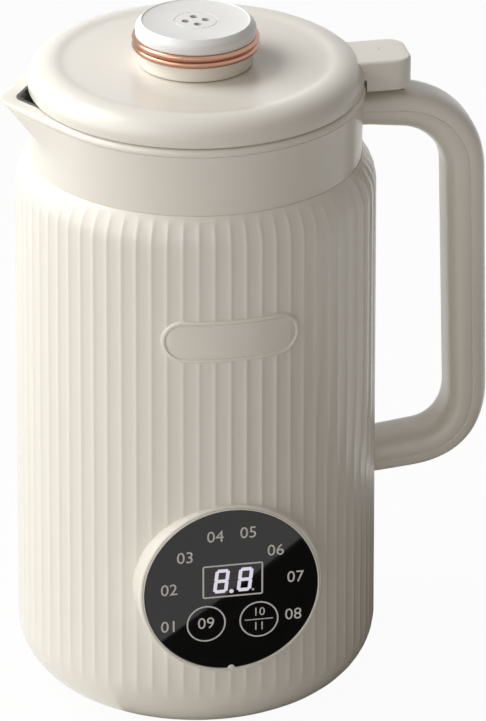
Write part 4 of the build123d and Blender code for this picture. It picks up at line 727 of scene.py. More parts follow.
def handle_line(top, top_slope, reach, lean, low, low_slope, upper, lower):
    """Points down one side of the handle as (x, z): top arm, round corner, grip, round corner, lower arm."""
    def crossing(level, start, slope):
        x = (reach + lean * (level - slope * start - GRIP_Z)) / (1 - lean * slope)
        return Vector((x, level + slope * (x - start)))

    def line(start, end, steps):
        return [start.lerp(end, index / steps) for index in range(steps)]

    def bend(start, corner, end, full):
        first, second = start.lerp(corner, full), end.lerp(corner, full)
        points = []
        for index in range(BEND_STEPS):
            share = index / BEND_STEPS
            rest = 1 - share
            points.append(start * rest ** 3 + first * 3 * share * rest ** 2 + second * 3 * share ** 2 * rest
                          + end * share ** 3)
        return points

    high, deep = crossing(top, TOP_ARM_X, top_slope), crossing(low, LOW_ARM_X, low_slope)
    back, down = Vector((-1, -top_slope)).normalized(), Vector((-lean, -1)).normalized()
    home = Vector((-1, -low_slope)).normalized()
    turns = (high + back * upper[0], high + down * upper[1], deep - down * lower[0], deep + home * lower[1])
    first = Vector((ARM_ROOT, top + top_slope * (ARM_ROOT - TOP_ARM_X)))
    last = Vector((LOW_ARM_ROOT, low + low_slope * (LOW_ARM_ROOT - LOW_ARM_X)))
    return (line(first, turns[0], ARM_STEPS) + bend(turns[0], high, turns[1], upper[2])
            + line(turns[1], turns[2], GRIP_STEPS) + bend(turns[2], deep, turns[3], lower[2])
            + line(turns[3], last, ARM_STEPS) + [last])


def handle_rings(sizes, outer):
    """Rings of points round the handle's outer or inner half."""
    power, seam = 2 / sizes.squareness, sizes.seam
    width = sizes.half_width / MM
    groove = sizes.groove / MM / width
    reach = acos(abs(seam) ** (1 / power))
    reach = pi - reach if seam < 0 else reach
    way = 1 if outer else -1
    start, end = reach + SEAM_MARGIN, FULL_TURN - reach - SEAM_MARGIN
    if outer:
        start, end = SEAM_MARGIN - reach, reach - SEAM_MARGIN
    section = []
    for index in range(SECTION_STEPS + 1):
        angle = start + (end - start) * index / SECTION_STEPS
        along, side = cos(angle), sin(angle)
        section.append((copysign(abs(along) ** power, along), copysign(abs(side) ** power, side)))
    lip = [section[-1][1] - way * groove, section[0][1] + way * groove]
    rings = []
    for far, near_point in zip(handle_line(*HANDLE_OUTSIDE), handle_line(*HANDLE_INSIDE)):
        middle, arm = (far + near_point) / 2, (far - near_point) / 2
        spots = [(middle + arm * along, width * side) for along, side in section]
        spots += [(middle + arm * seam + arm.normalized() * way * SEAM_DEPTH, width * side) for side in lip]
        rings.append([(spot.x, y, spot.y) for spot, y in spots])
    for ring, seat in ((0, COLLAR_SEAT_R), (-1, CASING_SEAT_R)):
        rings[ring] = [(sqrt(seat ** 2 - y ** 2), y, z) for _, y, z in rings[ring]]
    return rings


class JUG_OT_handle(bpy.types.Operator):
    """Models the handle's two halves with the line where they meet and the socket's pocket"""
    bl_idname = "jug.handle"
    bl_label = "Handle"

    def execute(self, context):
        for name, outer in (("handle_outer", True), ("handle_inner", False)):
            rings = handle_rings(context.scene.jug_handle, outer)
            half = close(fill_ends(stacked(name + "_skin", rings)), CRISP)
            clear()
            bpy.ops.mesh.primitive_cube_add(size=1, location=[value * MM for value in POCKET_PLACE])
            pocket = begin("pocket", [value * MM for value in POCKET_SIZE])
            clear()
            cut(half, pocket)
            smooth(half, CRISP)
            finish_piece(half, name, "cream plastic")
        return {"FINISHED"}


# Steam knob

STEM_R = 13.7
STEM_BORE_R = 12.1
STEM_FOOT = 229.3
STEM_ROUND = 0.5
BASE_Z = 242.25
BASE_ROUND = 0.4
BASE_TOP = 248.0
BASE_FLOOR = 249.65
BASE_BORE_R = 18.25
TRIM_SEAT = 0.15        # how far the base steps in behind the beads
BEAD_END = 52           # degrees; where each bead meets the groove between them
BEAD_GROOVE = 0.3
CAP_TOP = 258.15
DISH_Z = 257.75         # floor of the cap's dish
DISH_GROOVE = ((7.45, DISH_Z), (7.55, 257.5), (7.75, 257.5), (7.85, DISH_Z))
DISH_EDGE = ((-0.4, DISH_Z), (0.0, DISH_Z + 0.15), (0.2, CAP_TOP, 0.1))     # distance out from the dish's radius, level
CAP_EDGE_ROUND = 0.25
CHAMFER_ROUND = 0.8
CAP_INSIDE = ((18.1, TRIM_TOP), (18.1, 249.8), (16.3, 249.8), (16.3, 256.7), (0, 256.7))
STEAM_HOLES = 4
HOLE_Z = 257.5
HOLE_DEPTH = 6


class JUG_OT_knob(bpy.types.Operator):
    """Models the steam knob's base, metal beads and vented cap"""
    bl_idname = "jug.knob"
    bl_label = "Steam knob"

    def execute(self, context):
        sizes = context.scene.jug_knob
        base, cap = sizes.base_radius / MM, sizes.cap_radius / MM
        bead, chamfer, dish = sizes.bead_radius / MM, sizes.chamfer / MM, sizes.dish_radius / MM
        seat = base - TRIM_SEAT
        foot = [(STEM_R, STEM_FOOT, STEM_ROUND), (STEM_R, BASE_Z), (base, BASE_Z, BASE_ROUND), (base, BASE_TOP),
                (seat, BASE_TOP), (seat, TRIM_TOP), (BASE_BORE_R, TRIM_TOP), (BASE_BORE_R, BASE_FLOOR),
                (STEM_BORE_R, BASE_FLOOR), (STEM_BORE_R, STEM_FOOT), (STEM_R, STEM_FOOT)]
        finish_piece(turned("knob_foot", foot), "knob_base", "cream plastic")
        low, high = BASE_TOP + bead, TRIM_TOP - bead
        beads = [(base, BASE_TOP)] + arc((cap, low), (bead, bead), -90, BEAD_END, 14)
        beads += [(cap + BEAD_GROOVE, (low + high) / 2)] + arc((cap, high), (bead, bead), -BEAD_END, 90, 14)
        beads += [(base, TRIM_TOP), (base, BASE_TOP)]
        finish_piece(turned("knob_rings", beads, angle=CRISP), "knob_trim", "rose gold")
        corners = [(0, DISH_Z), *DISH_GROOVE] + [(dish + out, *level) for out, *level in DISH_EDGE]
        corners += [(cap - chamfer, CAP_TOP, CAP_EDGE_ROUND), (cap, CAP_TOP - chamfer, CHAMFER_ROUND),
                    (cap, TRIM_TOP, CAP_EDGE_ROUND), *CAP_INSIDE]
        vented = turned("vent_cap_skin", corners)
        for index in range(STEAM_HOLES):
            angle = index * FULL_TURN / STEAM_HOLES
            place = (sizes.hole_circle * cos(angle), sizes.hole_circle * sin(angle), HOLE_Z * MM)
            clear()
            bpy.ops.mesh.primitive_cylinder_add(vertices=32, radius=sizes.hole_radius, depth=HOLE_DEPTH * MM,
                                                location=place)
            cutter = begin("cutter")
            clear()
            cut(vented, cutter)
        smooth(vented)
        finish_piece(vented, "knob_cap", "white plastic")
        return {"FINISHED"}


# Touch panel

INK_RISE = 0.015        # height of the printed numbers, and where their middle stands before the lens
INK_PROUD = 0.02
PLATE_PROUD = 0.03      # how far bars, rings and points stand before it
PANEL_BACK = -64.6
BOSS_SIDES = 256
BOSS_BACK = -60.0
BORE_GAP = 0.1          # between the rim and the boss's bore
BORE_EDGE = 0.15
BOSS_ROUND_WIDE = 0.9   # the round along the boss's front edge
BOSS_ROUND_DEEP = 1.2
BOSS_SPREAD = 0.15      # how much wider the boss gets down its side
FOOT_SPREAD = 0.1       # how far out the middle of the foot's bend lies,
FOOT_RISE = 1.1         # how far up the side the bend starts, at most,
FOOT_SHARE = 0.8        # and as a share of the side's height
FOOT_SINK = 0.02        # how far the foot stays under the casing's surface at least
SKIRT_SPREAD = 0.3      # last ring, inside the casing
SKIRT_SINK = 0.6
ROUND_SHARES = (0.0, 0.25, 0.5, 0.75, 1.0)
SIDE_SHARES = (0.35, 0.7, 1.0)
FOOT_SHARES = (0.15, 0.3, 0.45, 0.6, 0.75, 0.88, 1.0)
HOOP_PROUD = 0.26       # how far the rim stands before the lens
HOOP_ROUND = 0.2
HOOP_GAPS = (0.12, 0.08)    # between lens and rim, in front and at the back
GLASS_ROUND = 0.22
NUB_R = 1.5
NUB_FLAT = 0.34
NUB_DROP = 0.1          # how far below the lens's edge the nub's middle is, and where the nub starts
NUB_START = 0.5


def printed(name, z, x, size, text):
    """A number printed on the lens, as thin raised ink centred at x and z."""
    clear()
    bpy.ops.object.text_add(location=(0, 0, 0))
    words = bpy.context.object
    words.data.body = text
    words.data.size = size
    words.data.extrude = INK_RISE * MM
    words.data.align_x = words.data.align_y = "CENTER"
    words.data.resolution_u = 3
    bpy.ops.object.convert(target="MESH")
    words = bpy.context.object
    words.name = words.data.name = name
    words.rotation_euler = (pi / 2, 0, 0)
    words.location = (x * MM, (PANEL_Y - INK_PROUD) * MM, z * MM)
    bpy.ops.object.transform_apply(location=True, rotation=True, scale=True)
    return words


def flat_bar(name, x, z, width, height, corner=0.0, frame_width=0.0, round_sides=0):
    """A thin plate, or a thin frame, on the lens, with its corners cut or rounded, or round all over."""
    clear()
    place = (x * MM, (PANEL_Y - PLATE_PROUD) * MM, z * MM)
    if round_sides:
        bpy.ops.mesh.primitive_circle_add(vertices=round_sides, radius=0.5, fill_type="NGON", location=place,
                                          rotation=(pi / 2, 0, 0))
    else:
        bpy.ops.mesh.primitive_plane_add(size=1, location=place, rotation=(pi / 2, 0, 0))
    plate = begin(name, (width * MM, height * MM, 1))
    if corner:
        bpy.ops.mesh.bevel(offset=corner * MM, segments=3, affect="VERTICES")
    bpy.ops.mesh.select_mode(type="FACE")
    bpy.ops.mesh.select_all(action="SELECT")
    if frame_width:
        bpy.ops.mesh.inset(thickness=frame_width * MM)
        bpy.ops.mesh.delete(type="FACE")
        bpy.ops.mesh.select_all(action="SELECT")
    bpy.ops.mesh.extrude_region_move(TRANSFORM_OT_translate={"value": (0, PLATE_PROUD * MM, 0)})
    return close(plate)


def join(name, pieces):
    """Makes one piece of several."""
    clear()
    for piece in pieces:
        piece.select_set(True)
    bpy.context.view_layer.objects.active = pieces[0]
    bpy.ops.object.join()
    pieces[0].name = pieces[0].data.name = name
    return pieces[0]


def boss_rings(inner, outer, blend, flutes, depth):
    """Rings of points from the boss's bore over its front and down its side to its foot, under the casing's surface."""
    def skin(angle, radius):
        """The casing's y at an angle and a radius round the boss."""
        x, z = radius * cos(angle), LENS_Z + radius * sin(angle)
        flank = -sqrt(form_radius(z) ** 2 - x ** 2)
        return -sqrt(fluted_radius(z, atan2(flank, x), flutes, depth) ** 2 - x ** 2)

    foot, end = outer + FOOT_SPREAD, outer + FOOT_SPREAD + blend
    angles = [FULL_TURN * index / BOSS_SIDES for index in range(BOSS_SIDES)]
    spokes = []
    for angle in angles:
        drop = skin(angle, foot) - PANEL_Y
        start = PANEL_Y + drop - min(FOOT_RISE, FOOT_SHARE * drop)
        spokes.append((cos(angle), sin(angle), start, min(BOSS_ROUND_DEEP, start - PANEL_Y)))

    def ring(radius, level):
        """One ring, its y given by level for each spoke's start of the foot and depth of the round."""
        return [(radius * across, level(start, fall), LENS_Z + radius * up) for across, up, start, fall in spokes]

    rings = [ring(inner, lambda start, fall: BOSS_BACK), ring(inner, lambda start, fall: PANEL_Y + BORE_EDGE),
             ring(inner + BORE_EDGE, lambda start, fall: PANEL_Y)]
    for share in ROUND_SHARES:
        angle = share * pi / 2
        rings.append(ring(outer - BOSS_ROUND_WIDE + BOSS_ROUND_WIDE * sin(angle),
                          lambda start, fall: PANEL_Y + fall * (1 - cos(angle))))
    for share in SIDE_SHARES:
        rings.append(ring(outer + BOSS_SPREAD * share,
                          lambda start, fall: PANEL_Y + fall + (start - PANEL_Y - fall) * share))
    # The foot ends at one depth all round, the casing's beside the boss, where its surface is farthest back
    beside = angles[-1]
    for share in FOOT_SHARES:
        rest = 1 - share
        radius = (outer + BOSS_SPREAD) * rest ** 2 + 2 * foot * share * rest + end * share ** 2
        bend = 2 * skin(beside, foot) * share * rest + skin(beside, end) * share ** 2
        deepest = skin(beside, radius) - FOOT_SINK
        rings.append(ring(radius, lambda start, fall: min(start * rest ** 2 + bend, deepest)))
    far = end + SKIRT_SPREAD
    rings.append(ring(far, lambda start, fall: skin(beside, far) + SKIRT_SINK))
    return rings + rings[:1]


class JUG_OT_panel(bpy.types.Operator):
    """Models the touch panel's boss, rim, nub and lens"""
    bl_idname = "jug.panel"
    bl_label = "Touch panel"

    def execute(self, context):
        sizes, casing = context.scene.jug_panel, context.scene.jug_casing
        lens, rim = sizes.lens_radius / MM, sizes.rim_radius / MM
        rings = boss_rings(rim + BORE_GAP, sizes.boss_radius / MM, sizes.boss_blend / MM, casing.flutes,
                           casing.flute_depth / MM)
        finish_piece(close(stacked("panel_boss", rings), CRISP), "outer_shell", "cream plastic")
        front, (front_gap, back_gap) = PANEL_Y - HOOP_PROUD, HOOP_GAPS
        hoop = faced("panel_rim", [(rim, PANEL_BACK), (rim, front, HOOP_ROUND), (lens + front_gap, front, HOOP_ROUND),
                                   (lens + back_gap, PANEL_BACK), (rim, PANEL_BACK)])
        clear()
        bpy.ops.mesh.primitive_uv_sphere_add(segments=32, ring_count=16, radius=NUB_R * MM,
                                             location=(0, (PANEL_Y + HOOP_PROUD) * MM, (LENS_Z - lens - NUB_DROP) * MM))
        nub = begin("nub", (1, NUB_FLAT, 1))
        bpy.ops.mesh.bisect(plane_co=(0, 0, (LENS_Z - lens - NUB_START) * MM), plane_no=(0, 0, -1), clear_outer=True,
                            use_fill=True)
        finish_piece(join("panel_rim", [hoop, close(nub)]), "panel_bezel", "cream plastic")
        glass = faced("panel_glass", [(0, PANEL_Y), (lens, PANEL_Y, GLASS_ROUND), (lens, PANEL_BACK), (0, PANEL_BACK)],
                      sides=160)
        finish_piece(glass, "panel_lens", "black glass")
        return {"FINISHED"}


# Panel print: places and sizes in millimetres, their levels from PANEL_Z

NUMBER_PLACES = ((-22.8, -13.8), (-22.8, 1.0), (-16.9, 13.4), (-5.9, 20.9), (6.2, 21.5), (16.2, 13.5), (23.5, 2.1),
                 (22.8, -13.0))
DISPLAY_X = 0.5
DISPLAY_LEVEL = 3.0
DISPLAY_SIZE = (22.2, 13.1)
DISPLAY_CORNER = 0.8
DISPLAY_LINE = 0.6
LEFT_KEY_X = -9.25
RIGHT_KEY_X = 10.15
KEY_LEVEL = -13.7
KEY_LINE = 0.55
KEY_NUMBERS_APART = 2.9     # from the middle of the right key to each of its numbers
KEY_NUMBER_SHARE = 0.72     # their size as a share of the others'
KEY_DIVIDER = (10.4, 0.35)


class JUG_OT_panel_print(bpy.types.Operator):
    """Prints plain numbers, the display's outline and two key rings on the lens"""
    bl_idname = "jug.panel_print"
    bl_label = "Panel print"

    def execute(self, context):
        sizes = context.scene.jug_panel
        size, small = sizes.print_size, sizes.print_size * KEY_NUMBER_SHARE
        pieces = [printed("number", PANEL_Z + z, x, size, f"{index + 1:02d}")
                  for index, (x, z) in enumerate(NUMBER_PLACES)]
        pieces.append(flat_bar("outline", DISPLAY_X, PANEL_Z + DISPLAY_LEVEL, *DISPLAY_SIZE, corner=DISPLAY_CORNER,
                               frame_width=DISPLAY_LINE))
        # Two keys: a ring each, one with a number, one with a number over and under a line
        ring, level = sizes.key_radius * 2 / MM, PANEL_Z + KEY_LEVEL
        for x in (LEFT_KEY_X, RIGHT_KEY_X):
            pieces.append(flat_bar("key", x, level, ring, ring, frame_width=KEY_LINE, round_sides=64))
        pieces.append(printed("number", level, LEFT_KEY_X, size, "09"))
        pieces.append(printed("number", level + KEY_NUMBERS_APART, RIGHT_KEY_X, small, "10"))
        pieces.append(printed("number", level - KEY_NUMBERS_APART, RIGHT_KEY_X, small, "11"))
        pieces.append(flat_bar("line", RIGHT_KEY_X, level, *KEY_DIVIDER))
        ink = join("panel_print", pieces)
        coat(ink, "panel ink")
        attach(ink, "root")
        return {"FINISHED"}


DIGIT_PLACES = (-3.65, 5.0)
DIGIT_LEAN = 6.5            # degrees
BAR_GAP = 0.12
BAR_CORNER = 0.3            # as a share of a bar's width
POINTS = ((0.0, -4.35, 1.6), (7.9, -4.35, 0.9))     # place and size of the lit point and the unlit one


class JUG_OT_digits(bpy.types.Operator):
    """Lights two digits and the point between them, and makes the unlit second point"""
    bl_idname = "jug.digits"
    bl_label = "Digits"

    def execute(self, context):
        sizes = context.scene.jug_panel
        width, height, stroke = sizes.digit_width / MM, sizes.digit_height / MM, sizes.stroke / MM
        level, corner = PANEL_Z + DISPLAY_LEVEL, stroke * BAR_CORNER
        half_w, half_h = (width - stroke) / 2, (height - stroke) / 2
        bars = []
        for middle in DIGIT_PLACES:
            for z in (-half_h, 0, half_h):
                bars.append(flat_bar("bar", middle, level + z, width - stroke - BAR_GAP, stroke, corner=corner))
            for x in (-half_w, half_w):
                for z in (-half_h / 2, half_h / 2):
                    bars.append(flat_bar("bar", middle + x, level + z, stroke, half_h - BAR_GAP, corner=corner))
        first, second = [flat_bar("point", x, level + z, size, size, round_sides=24) for x, z, size in POINTS]
        digits = join("digits", bars)
        # The digits lean a little to the right.
        for point in digits.data.vertices:
            point.co.x += (point.co.z - level * MM) * tan(radians(DIGIT_LEAN))
        finish_piece(join("digits", [digits, first]), "digit_display", "lit digits")
        second.name = second.data.name = "second_point"
        coat(second, "panel ink")
        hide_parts("digit_display")
        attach(second, "root")
        return {"FINISHED"}


# Finishes

FINISH_OF_SLOT = {
    "cream_plastic": "cream plastic", "white_plastic": "white plastic", "rose_gold": "rose gold",
    "steel": "cup steel", "blade_steel": "blade steel", "screw_steel": "plated screws",
    "motor_steel": "motor steel", "aluminium": "cast aluminium", "copper": "copper", "carbon": "carbon",
    "black_glass": "black glass", "display": "lit digits", "black_plastic": "black plastic",
    "grey_plastic": "grey plastic", "board": "circuit board", "rubber": "rubber", "silicone": "silicone",
}
DUST_COLOUR = (0.62, 0.60, 0.56, 1)
SPECK_FROM = 0.62       # noise from here on makes a speck of dust,
SPECK_TO = 0.74         # a full one here
BUMP_DEPTH = 0.0004     # metres


def node_group(name, inputs, outputs):
    """A new shader node group with its sockets, its input and its output node."""
    group = bpy.data.node_groups.new(name, "ShaderNodeTree")
    for socket, kind, value in inputs:
        made = group.interface.new_socket(name=socket, in_out="INPUT", socket_type=kind)
        made.default_value = value
    for socket, kind in outputs:
        group.interface.new_socket(name=socket, in_out="OUTPUT", socket_type=kind)
    return group, group.nodes.new("NodeGroupInput"), group.nodes.new("NodeGroupOutput")


def add(tree, kind, values=None, **settings):
    """A node with its settings; values, and keys that name a socket, set what its sockets hold."""
    node = tree.nodes.new("ShaderNode" + kind)
    for key, value in settings.items():
        if hasattr(node, key):
            setattr(node, key, value)
        else:
            node.inputs[key.replace("_", " ")].default_value = value
    for socket, value in (values or {}).items():
        node.inputs[socket].default_value = value
    return node


def wire(tree, *links):
    """Links sockets, each link given as a node, its output, the next node and its input."""
    for node, output, target, socket in links:
        tree.links.new(node.outputs[output], target.inputs[socket])


def blank_tree(owner):
    """The emptied node tree of a material or a world."""
    owner.use_nodes = True
    owner.node_tree.nodes.clear()
    return owner.node_tree


def make_grain_group():
    """Fine moulded grain over slow waves, as a height."""
    group, entry, out = node_group("moulded grain", [("Scale", "NodeSocketFloat", 900.0),
                                                    ("Waviness", "NodeSocketFloat", 0.25)],
                                   [("Height", "NodeSocketFloat")])
    place = add(group, "TexCoord")
    fine = add(group, "TexNoise", Detail=3.0, Roughness=0.6)
    slow = add(group, "TexNoise", Scale=18.0, Detail=1.0)
    mix = add(group, "Math", operation="MULTIPLY_ADD")
    wire(group, (place, "Object", fine, "Vector"), (entry, "Scale", fine, "Scale"), (place, "Object", slow, "Vector"),
         (slow, "Fac", mix, 0), (entry, "Waviness", mix, 1), (fine, "Fac", mix, 2), (mix, 0, out, "Height"))


def make_tone_group():
    """A colour that drifts slowly and has a few specks of dust, and a roughness with smears."""
    group, entry, out = node_group("tone", [("Color", "NodeSocketColor", (0.8, 0.8, 0.8, 1)),
                                            ("Drift", "NodeSocketFloat", 0.03),
                                            ("Dust", "NodeSocketFloat", 0.02),
                                            ("Roughness", "NodeSocketFloat", 0.4),
                                            ("Smudge", "NodeSocketFloat", 0.06)],
                                   [("Color", "NodeSocketColor"), ("Roughness", "NodeSocketFloat")])
    place = add(group, "TexCoord")
    slow = add(group, "TexNoise", Scale=14.0, Detail=2.0)
    specks = add(group, "TexNoise", Scale=1400.0, Detail=1.0)
    smears = add(group, "TexNoise", Scale=42.0, Detail=4.0, Roughness=0.65)
    centred = add(group, "Math", {1: 0.5}, operation="SUBTRACT")
    drift = add(group, "Math", {2: 1.0}, operation="MULTIPLY_ADD")
    toned = add(group, "VectorMath", operation="SCALE")
    fleck = add(group, "MapRange", {"From Min": SPECK_FROM, "From Max": SPECK_TO, "To Min": 0.0, "To Max": 1.0})
    amount = add(group, "Math", operation="MULTIPLY")
    dusted = add(group, "Mix", {7: DUST_COLOUR}, data_type="RGBA")
    smear = add(group, "Math", {1: 0.5}, operation="SUBTRACT")
    rough = add(group, "Math", operation="MULTIPLY_ADD")
    wire(group, *[(place, "Object", texture, "Vector") for texture in (slow, specks, smears)])
    wire(group, (slow, "Fac", centred, 0), (centred, 0, drift, 0), (entry, "Drift", drift, 1),
         (entry, "Color", toned, 0), (drift, 0, toned, "Scale"))
    wire(group, (specks, "Fac", fleck, "Value"), (fleck, "Result", amount, 0), (entry, "Dust", amount, 1),
         (amount, 0, dusted, 0), (toned, 0, dusted, 6), (dusted, 2, out, "Color"))
    wire(group, (smears, "Fac", smear, 0), (smear, 0, rough, 0), (entry, "Smudge", rough, 1),
         (entry, "Roughness", rough, 2), (rough, 0, out, "Roughness"))


def make_brushed_group():
    """Fine rings round the jug's axis, as a brushed or turned metal has them, as a height."""
    group, entry, out = node_group("brushed rings", [("Scale", "NodeSocketFloat", 2600.0)],
                                   [("Height", "NodeSocketFloat")])
    place, split = add(group, "TexCoord"), add(group, "SeparateXYZ")
    square_x, square_y = add(group, "Math", operation="MULTIPLY"), add(group, "Math", operation="MULTIPLY")
    total, reach = add(group, "Math", operation="ADD"), add(group, "Math", operation="SQRT")
    line, streaks = add(group, "CombineXYZ"), add(group, "TexNoise", Detail=2.0)
    wire(group, (place, "Object", split, 0), (split, "X", square_x, 0), (split, "X", square_x, 1),
         (split, "Y", square_y, 0), (split, "Y", square_y, 1), (square_x, 0, total, 0), (square_y, 0, total, 1),
         (total, 0, reach, 0), (reach, 0, line, 0), (split, "Z", line, 2), (line, 0, streaks, "Vector"),
         (entry, "Scale", streaks, "Scale"), (streaks, "Fac", out, "Height"))


def make_material(name, base, rough=0.4, metal=0.0, coat=0.0, grain=0.02, grain_scale=900.0, brushed=False,
                  drift=0.04, dust=0.02, smudge=0.06, glow=None, glow_strength=0.0, coat_rough=0.1):
    """A finish: tone and grain groups feeding one Principled shader."""
    material = bpy.data.materials.new(name)
    tree = blank_tree(material)
    groups = bpy.data.node_groups
    out = add(tree, "OutputMaterial")
    shader = add(tree, "BsdfPrincipled", Metallic=metal, Coat_Weight=coat, Coat_Roughness=coat_rough)
    tone = add(tree, "Group", node_tree=groups["tone"], Color=(*base, 1), Drift=drift, Dust=dust, Roughness=rough,
               Smudge=smudge)
    height = add(tree, "Group", node_tree=groups["brushed rings" if brushed else "moulded grain"], Scale=grain_scale)
    bump = add(tree, "Bump", Strength=grain, Distance=BUMP_DEPTH)
    wire(tree, (shader, 0, out, 0), (tone, "Color", shader, "Base Color"), (tone, "Roughness", shader, "Roughness"),
         (height, "Height", bump, "Height"), (bump, 0, shader, "Normal"))
    if glow:
        shader.inputs["Emission Color"].default_value = (*glow, 1)
        shader.inputs["Emission Strength"].default_value = glow_strength
    material.diffuse_color = (*base, 1)


class JUG_OT_finishes(bpy.types.Operator):
    """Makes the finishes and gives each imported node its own"""
    bl_idname = "jug.finishes"
    bl_label = "Finishes"

    def execute(self, context):
        colours = context.scene.jug_finishes
        make_grain_group()
        make_tone_group()
        make_brushed_group()
        make_material("cream plastic", colours.cream, rough=0.34, coat=0.3, coat_rough=0.12, grain=0.04,
                      grain_scale=1500, drift=0.03)
        make_material("white plastic", colours.white, rough=0.36, coat=0.2, coat_rough=0.15, grain=0.05,
                      grain_scale=1500, drift=0.02)
        make_material("rose gold", colours.rose, rough=0.2, metal=1.0, grain=0.02, brushed=True, dust=0.0)
        make_material("cup steel", colours.steel, rough=0.42, metal=0.5, grain=0.12, brushed=True, dust=0.0)
        make_material("blade steel", (0.62, 0.62, 0.62), rough=0.24, metal=1.0, grain=0.12, brushed=True, dust=0.0)
        make_material("plated screws", (0.55, 0.55, 0.56), rough=0.34, metal=1.0, grain=0.05)
        make_material("motor steel", (0.30, 0.30, 0.31), rough=0.42, metal=1.0, grain=0.15, brushed=True)
        make_material("cast aluminium", (0.62, 0.62, 0.63), rough=0.5, metal=1.0, grain=0.3, grain_scale=700)
        make_material("copper", (0.66, 0.27, 0.13), rough=0.35, metal=1.0, grain=0.1, brushed=True)
        make_material("carbon", (0.03, 0.03, 0.03), rough=0.7, grain=0.3)
        make_material("black glass", colours.glass, rough=0.05, grain=0.0, drift=0.1, dust=0.004, smudge=0.03)
        make_material("lit digits", (0.25, 0.24, 0.28), rough=0.5, grain=0.0, dust=0.0, glow=colours.lit,
                      glow_strength=0.72)
        make_material("panel ink", colours.ink, rough=0.55, grain=0.1, dust=0.0)
        make_material("black plastic", (0.025, 0.025, 0.026), rough=0.5, grain=0.2, grain_scale=1200)
        make_material("grey plastic", (0.32, 0.32, 0.31), rough=0.5, grain=0.2, grain_scale=1200)
        make_material("circuit board", (0.03, 0.16, 0.07), rough=0.45, coat=0.4, grain=0.1)
        make_material("rubber", (0.035, 0.034, 0.033), rough=0.75, grain=0.25, grain_scale=1400)
        make_material("silicone", (0.55, 0.53, 0.49), rough=0.55, grain=0.1, grain_scale=1100)
        for name, node in frame["nodes"].items():
            for place in node.material_slots:
                place.material = bpy.data.materials[FINISH_OF_SLOT[SLOT_OF[name]]]
        return {"FINISHED"}


# Stage: places and sizes in metres

CAMERA_PLACE = (-0.3816, -1.9633, 1.0693)
CAMERA_TURN = (64.7009, -0.1554, -11.4175)      # degrees
CAMERA_LENS = 302.6                             # millimetres, on a sensor SENSOR_WIDTH wide
SENSOR_WIDTH = 36.0
AIR_TINT = (1.0, 0.89, 0.80, 1)
FLOOR_SIZE = 14
FLOOR_SINK = 0.0002
FLOOR_GLOW = 0.955      # how far the floor is plain bright where it is seen
CARD_LINE = ((0.1941, -0.3736), (-0.0749, -0.0744))
CARD_DEPTH = 0.3
CARD_LEVEL = 0.0004
JUG_MIDDLE = (0, 0, 0.13)
LID_MIDDLE = (0, 0, 0.243)
# Name, side, place, what it looks at, and tint of each lamp; the stage settings have its power
LAMPS = (
    ("key", 2.4, (-1.96, -0.47, 1.21), JUG_MIDDLE, (1.0, 1.0, 0.99)),
    ("rim", 1.0, (-1.9, 0.8, 0.8), JUG_MIDDLE, (1.0, 1.0, 0.99)),
    ("front", 1.6, (-1.1, -2.2, 0.8), JUG_MIDDLE, (1.0, 0.97, 0.95)),
    ("top", 0.3, (-0.3, 0.14, 0.56), LID_MIDDLE, (0.96, 0.98, 1.0)),
)


def lamp(name, power, size, place, target, tint):
    """A square area lamp."""
    data = bpy.data.lights.new(name, "AREA")
    data.shape = "SQUARE"
    data.size = size
    data.energy = power
    data.color = tint
    thing = bpy.data.objects.new(name, data)
    bpy.context.scene.collection.objects.link(thing)
    thing.location = place
    thing.rotation_euler = (Vector(target) - Vector(place)).to_track_quat("-Z", "Y").to_euler()


def seen_rays(tree):
    """A node that gives 1 for what the camera sees, straight on, mirrored or through glass."""
    rays = add(tree, "LightPath")
    first, second = add(tree, "Math", operation="MAXIMUM"), add(tree, "Math", operation="MAXIMUM")
    wire(tree, (rays, "Is Camera Ray", first, 0), (rays, "Is Glossy Ray", first, 1), (first, 0, second, 0),
         (rays, "Is Transmission Ray", second, 1))
    return second


def card(name, start, end, depth):
    """A black card that lies on the floor from a line to its left, seen in mirrors only."""
    start, end = Vector(start), Vector(end)
    along = end - start
    side = Vector((along.y, -along.x)).normalized() * depth
    middle = (start + end + side) / 2
    clear()
    bpy.ops.mesh.primitive_plane_add(size=1, location=(middle.x, middle.y, CARD_LEVEL),
                                     rotation=(0, 0, atan2(along.y, along.x)))
    thing = begin(name, (along.length, depth, 1))
    clear()
    material = bpy.data.materials.new(name)
    material.use_nodes = True
    shader = material.node_tree.nodes["Principled BSDF"]
    shader.inputs["Base Color"].default_value = (0.004, 0.004, 0.004, 1)
    shader.inputs["Roughness"].default_value = 1.0
    shader.inputs["Specular IOR Level"].default_value = 0.0
    thing.data.materials.append(material)
    thing.visible_camera = thing.visible_diffuse = thing.visible_shadow = thing.visible_transmission = False


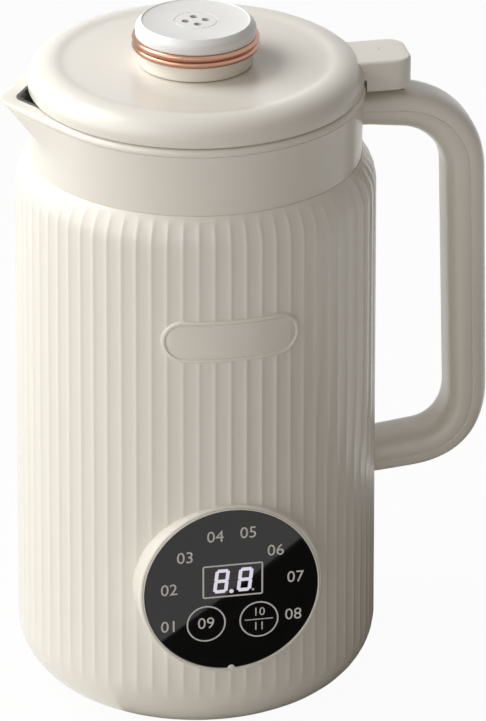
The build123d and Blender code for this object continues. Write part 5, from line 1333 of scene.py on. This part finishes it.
class JUG_OT_stage(bpy.types.Operator):
    """Sets the floor, the soft studio light and the camera"""
    bl_idname = "jug.stage"
    bl_label = "Stage"

    def execute(self, context):
        settings = context.scene.jug_stage
        scene = context.scene
        scene.view_settings.view_transform = "Standard"
        # Camera at the photograph's angle
        data = bpy.data.cameras.new("camera")
        data.lens, data.sensor_width = CAMERA_LENS, SENSOR_WIDTH
        camera = bpy.data.objects.new("camera", data)
        scene.collection.objects.link(camera)
        camera.location = CAMERA_PLACE
        camera.rotation_euler = [radians(turn) for turn in CAMERA_TURN]
        data.clip_start, data.clip_end = 0.05, 60
        scene.camera = camera
        # Room: white where it is seen, an even grey light for everything else
        world = bpy.data.worlds.new("room")
        scene.world = world
        tree = blank_tree(world)
        air = add(tree, "Background", Color=AIR_TINT, Strength=settings.air)
        white = add(tree, "Background", Color=(1, 1, 1, 1), Strength=1.0)
        mix, out = add(tree, "MixShader"), add(tree, "OutputWorld")
        wire(tree, (seen_rays(tree), 0, mix, 0), (air, 0, mix, 1), (white, 0, mix, 2), (mix, 0, out, 0))
        # Floor: a plain one that is bright where it is seen
        clear()
        bpy.ops.mesh.primitive_plane_add(size=FLOOR_SIZE, location=(0, 0, -FLOOR_SINK))
        floor = begin("floor")
        clear()
        material = bpy.data.materials.new("floor")
        tree = blank_tree(material)
        out = add(tree, "OutputMaterial")
        plain = add(tree, "BsdfPrincipled", Base_Color=(*scene.jug_finishes.floor, 1), Roughness=0.9)
        bright = add(tree, "Emission", Strength=1.0)
        both = add(tree, "MixShader")
        share = add(tree, "Math", {1: FLOOR_GLOW}, operation="MULTIPLY")
        wire(tree, (seen_rays(tree), 0, share, 0), (share, 0, both, 0), (plain, 0, both, 1), (bright, 0, both, 2),
             (both, 0, out, 0))
        floor.data.materials.append(material)
        # The lens mirrors this card on its lower right.
        card("card", *CARD_LINE, CARD_DEPTH)
        for name, size, place, target, tint in LAMPS:
            lamp(name, getattr(settings, name + "_power"), size, place, target, tint)
        return {"FINISHED"}


# The add-on: its operators run in this order

OPERATORS = (JUG_OT_finishes, JUG_OT_stage, JUG_OT_casing, JUG_OT_badge_pad, JUG_OT_collar, JUG_OT_lid,
             JUG_OT_handle, JUG_OT_knob, JUG_OT_panel, JUG_OT_panel_print, JUG_OT_digits)


class JUG_PT_sidebar(bpy.types.Panel):
    """Sizes, colours and pieces of the soy milk maker"""
    bl_label = "Soy milk maker"
    bl_space_type = "VIEW_3D"
    bl_region_type = "UI"
    bl_category = "Jug"

    def draw(self, context):
        for group, kind in SIZE_GROUPS.items():
            box = self.layout.box()
            box.label(text=group.replace("jug_", "").title())
            for name in kind.__annotations__:
                box.prop(getattr(context.scene, group), name)
        for operator in OPERATORS:
            self.layout.operator(operator.bl_idname)


CLASSES = (*SIZE_GROUPS.values(), *OPERATORS, JUG_PT_sidebar)


def register():
    for kind in CLASSES:
        bpy.utils.register_class(kind)
    for name, kind in SIZE_GROUPS.items():
        setattr(bpy.types.Scene, name, PointerProperty(type=kind))


def unregister():
    for name in SIZE_GROUPS:
        delattr(bpy.types.Scene, name)
    for kind in reversed(CLASSES):
        bpy.utils.unregister_class(kind)


def main():
    register()
    for operator in OPERATORS:
        family, name = operator.bl_idname.split(".")
        getattr(getattr(bpy.ops, family), name)()
    clear()


if __name__ == "__main__":
    main()
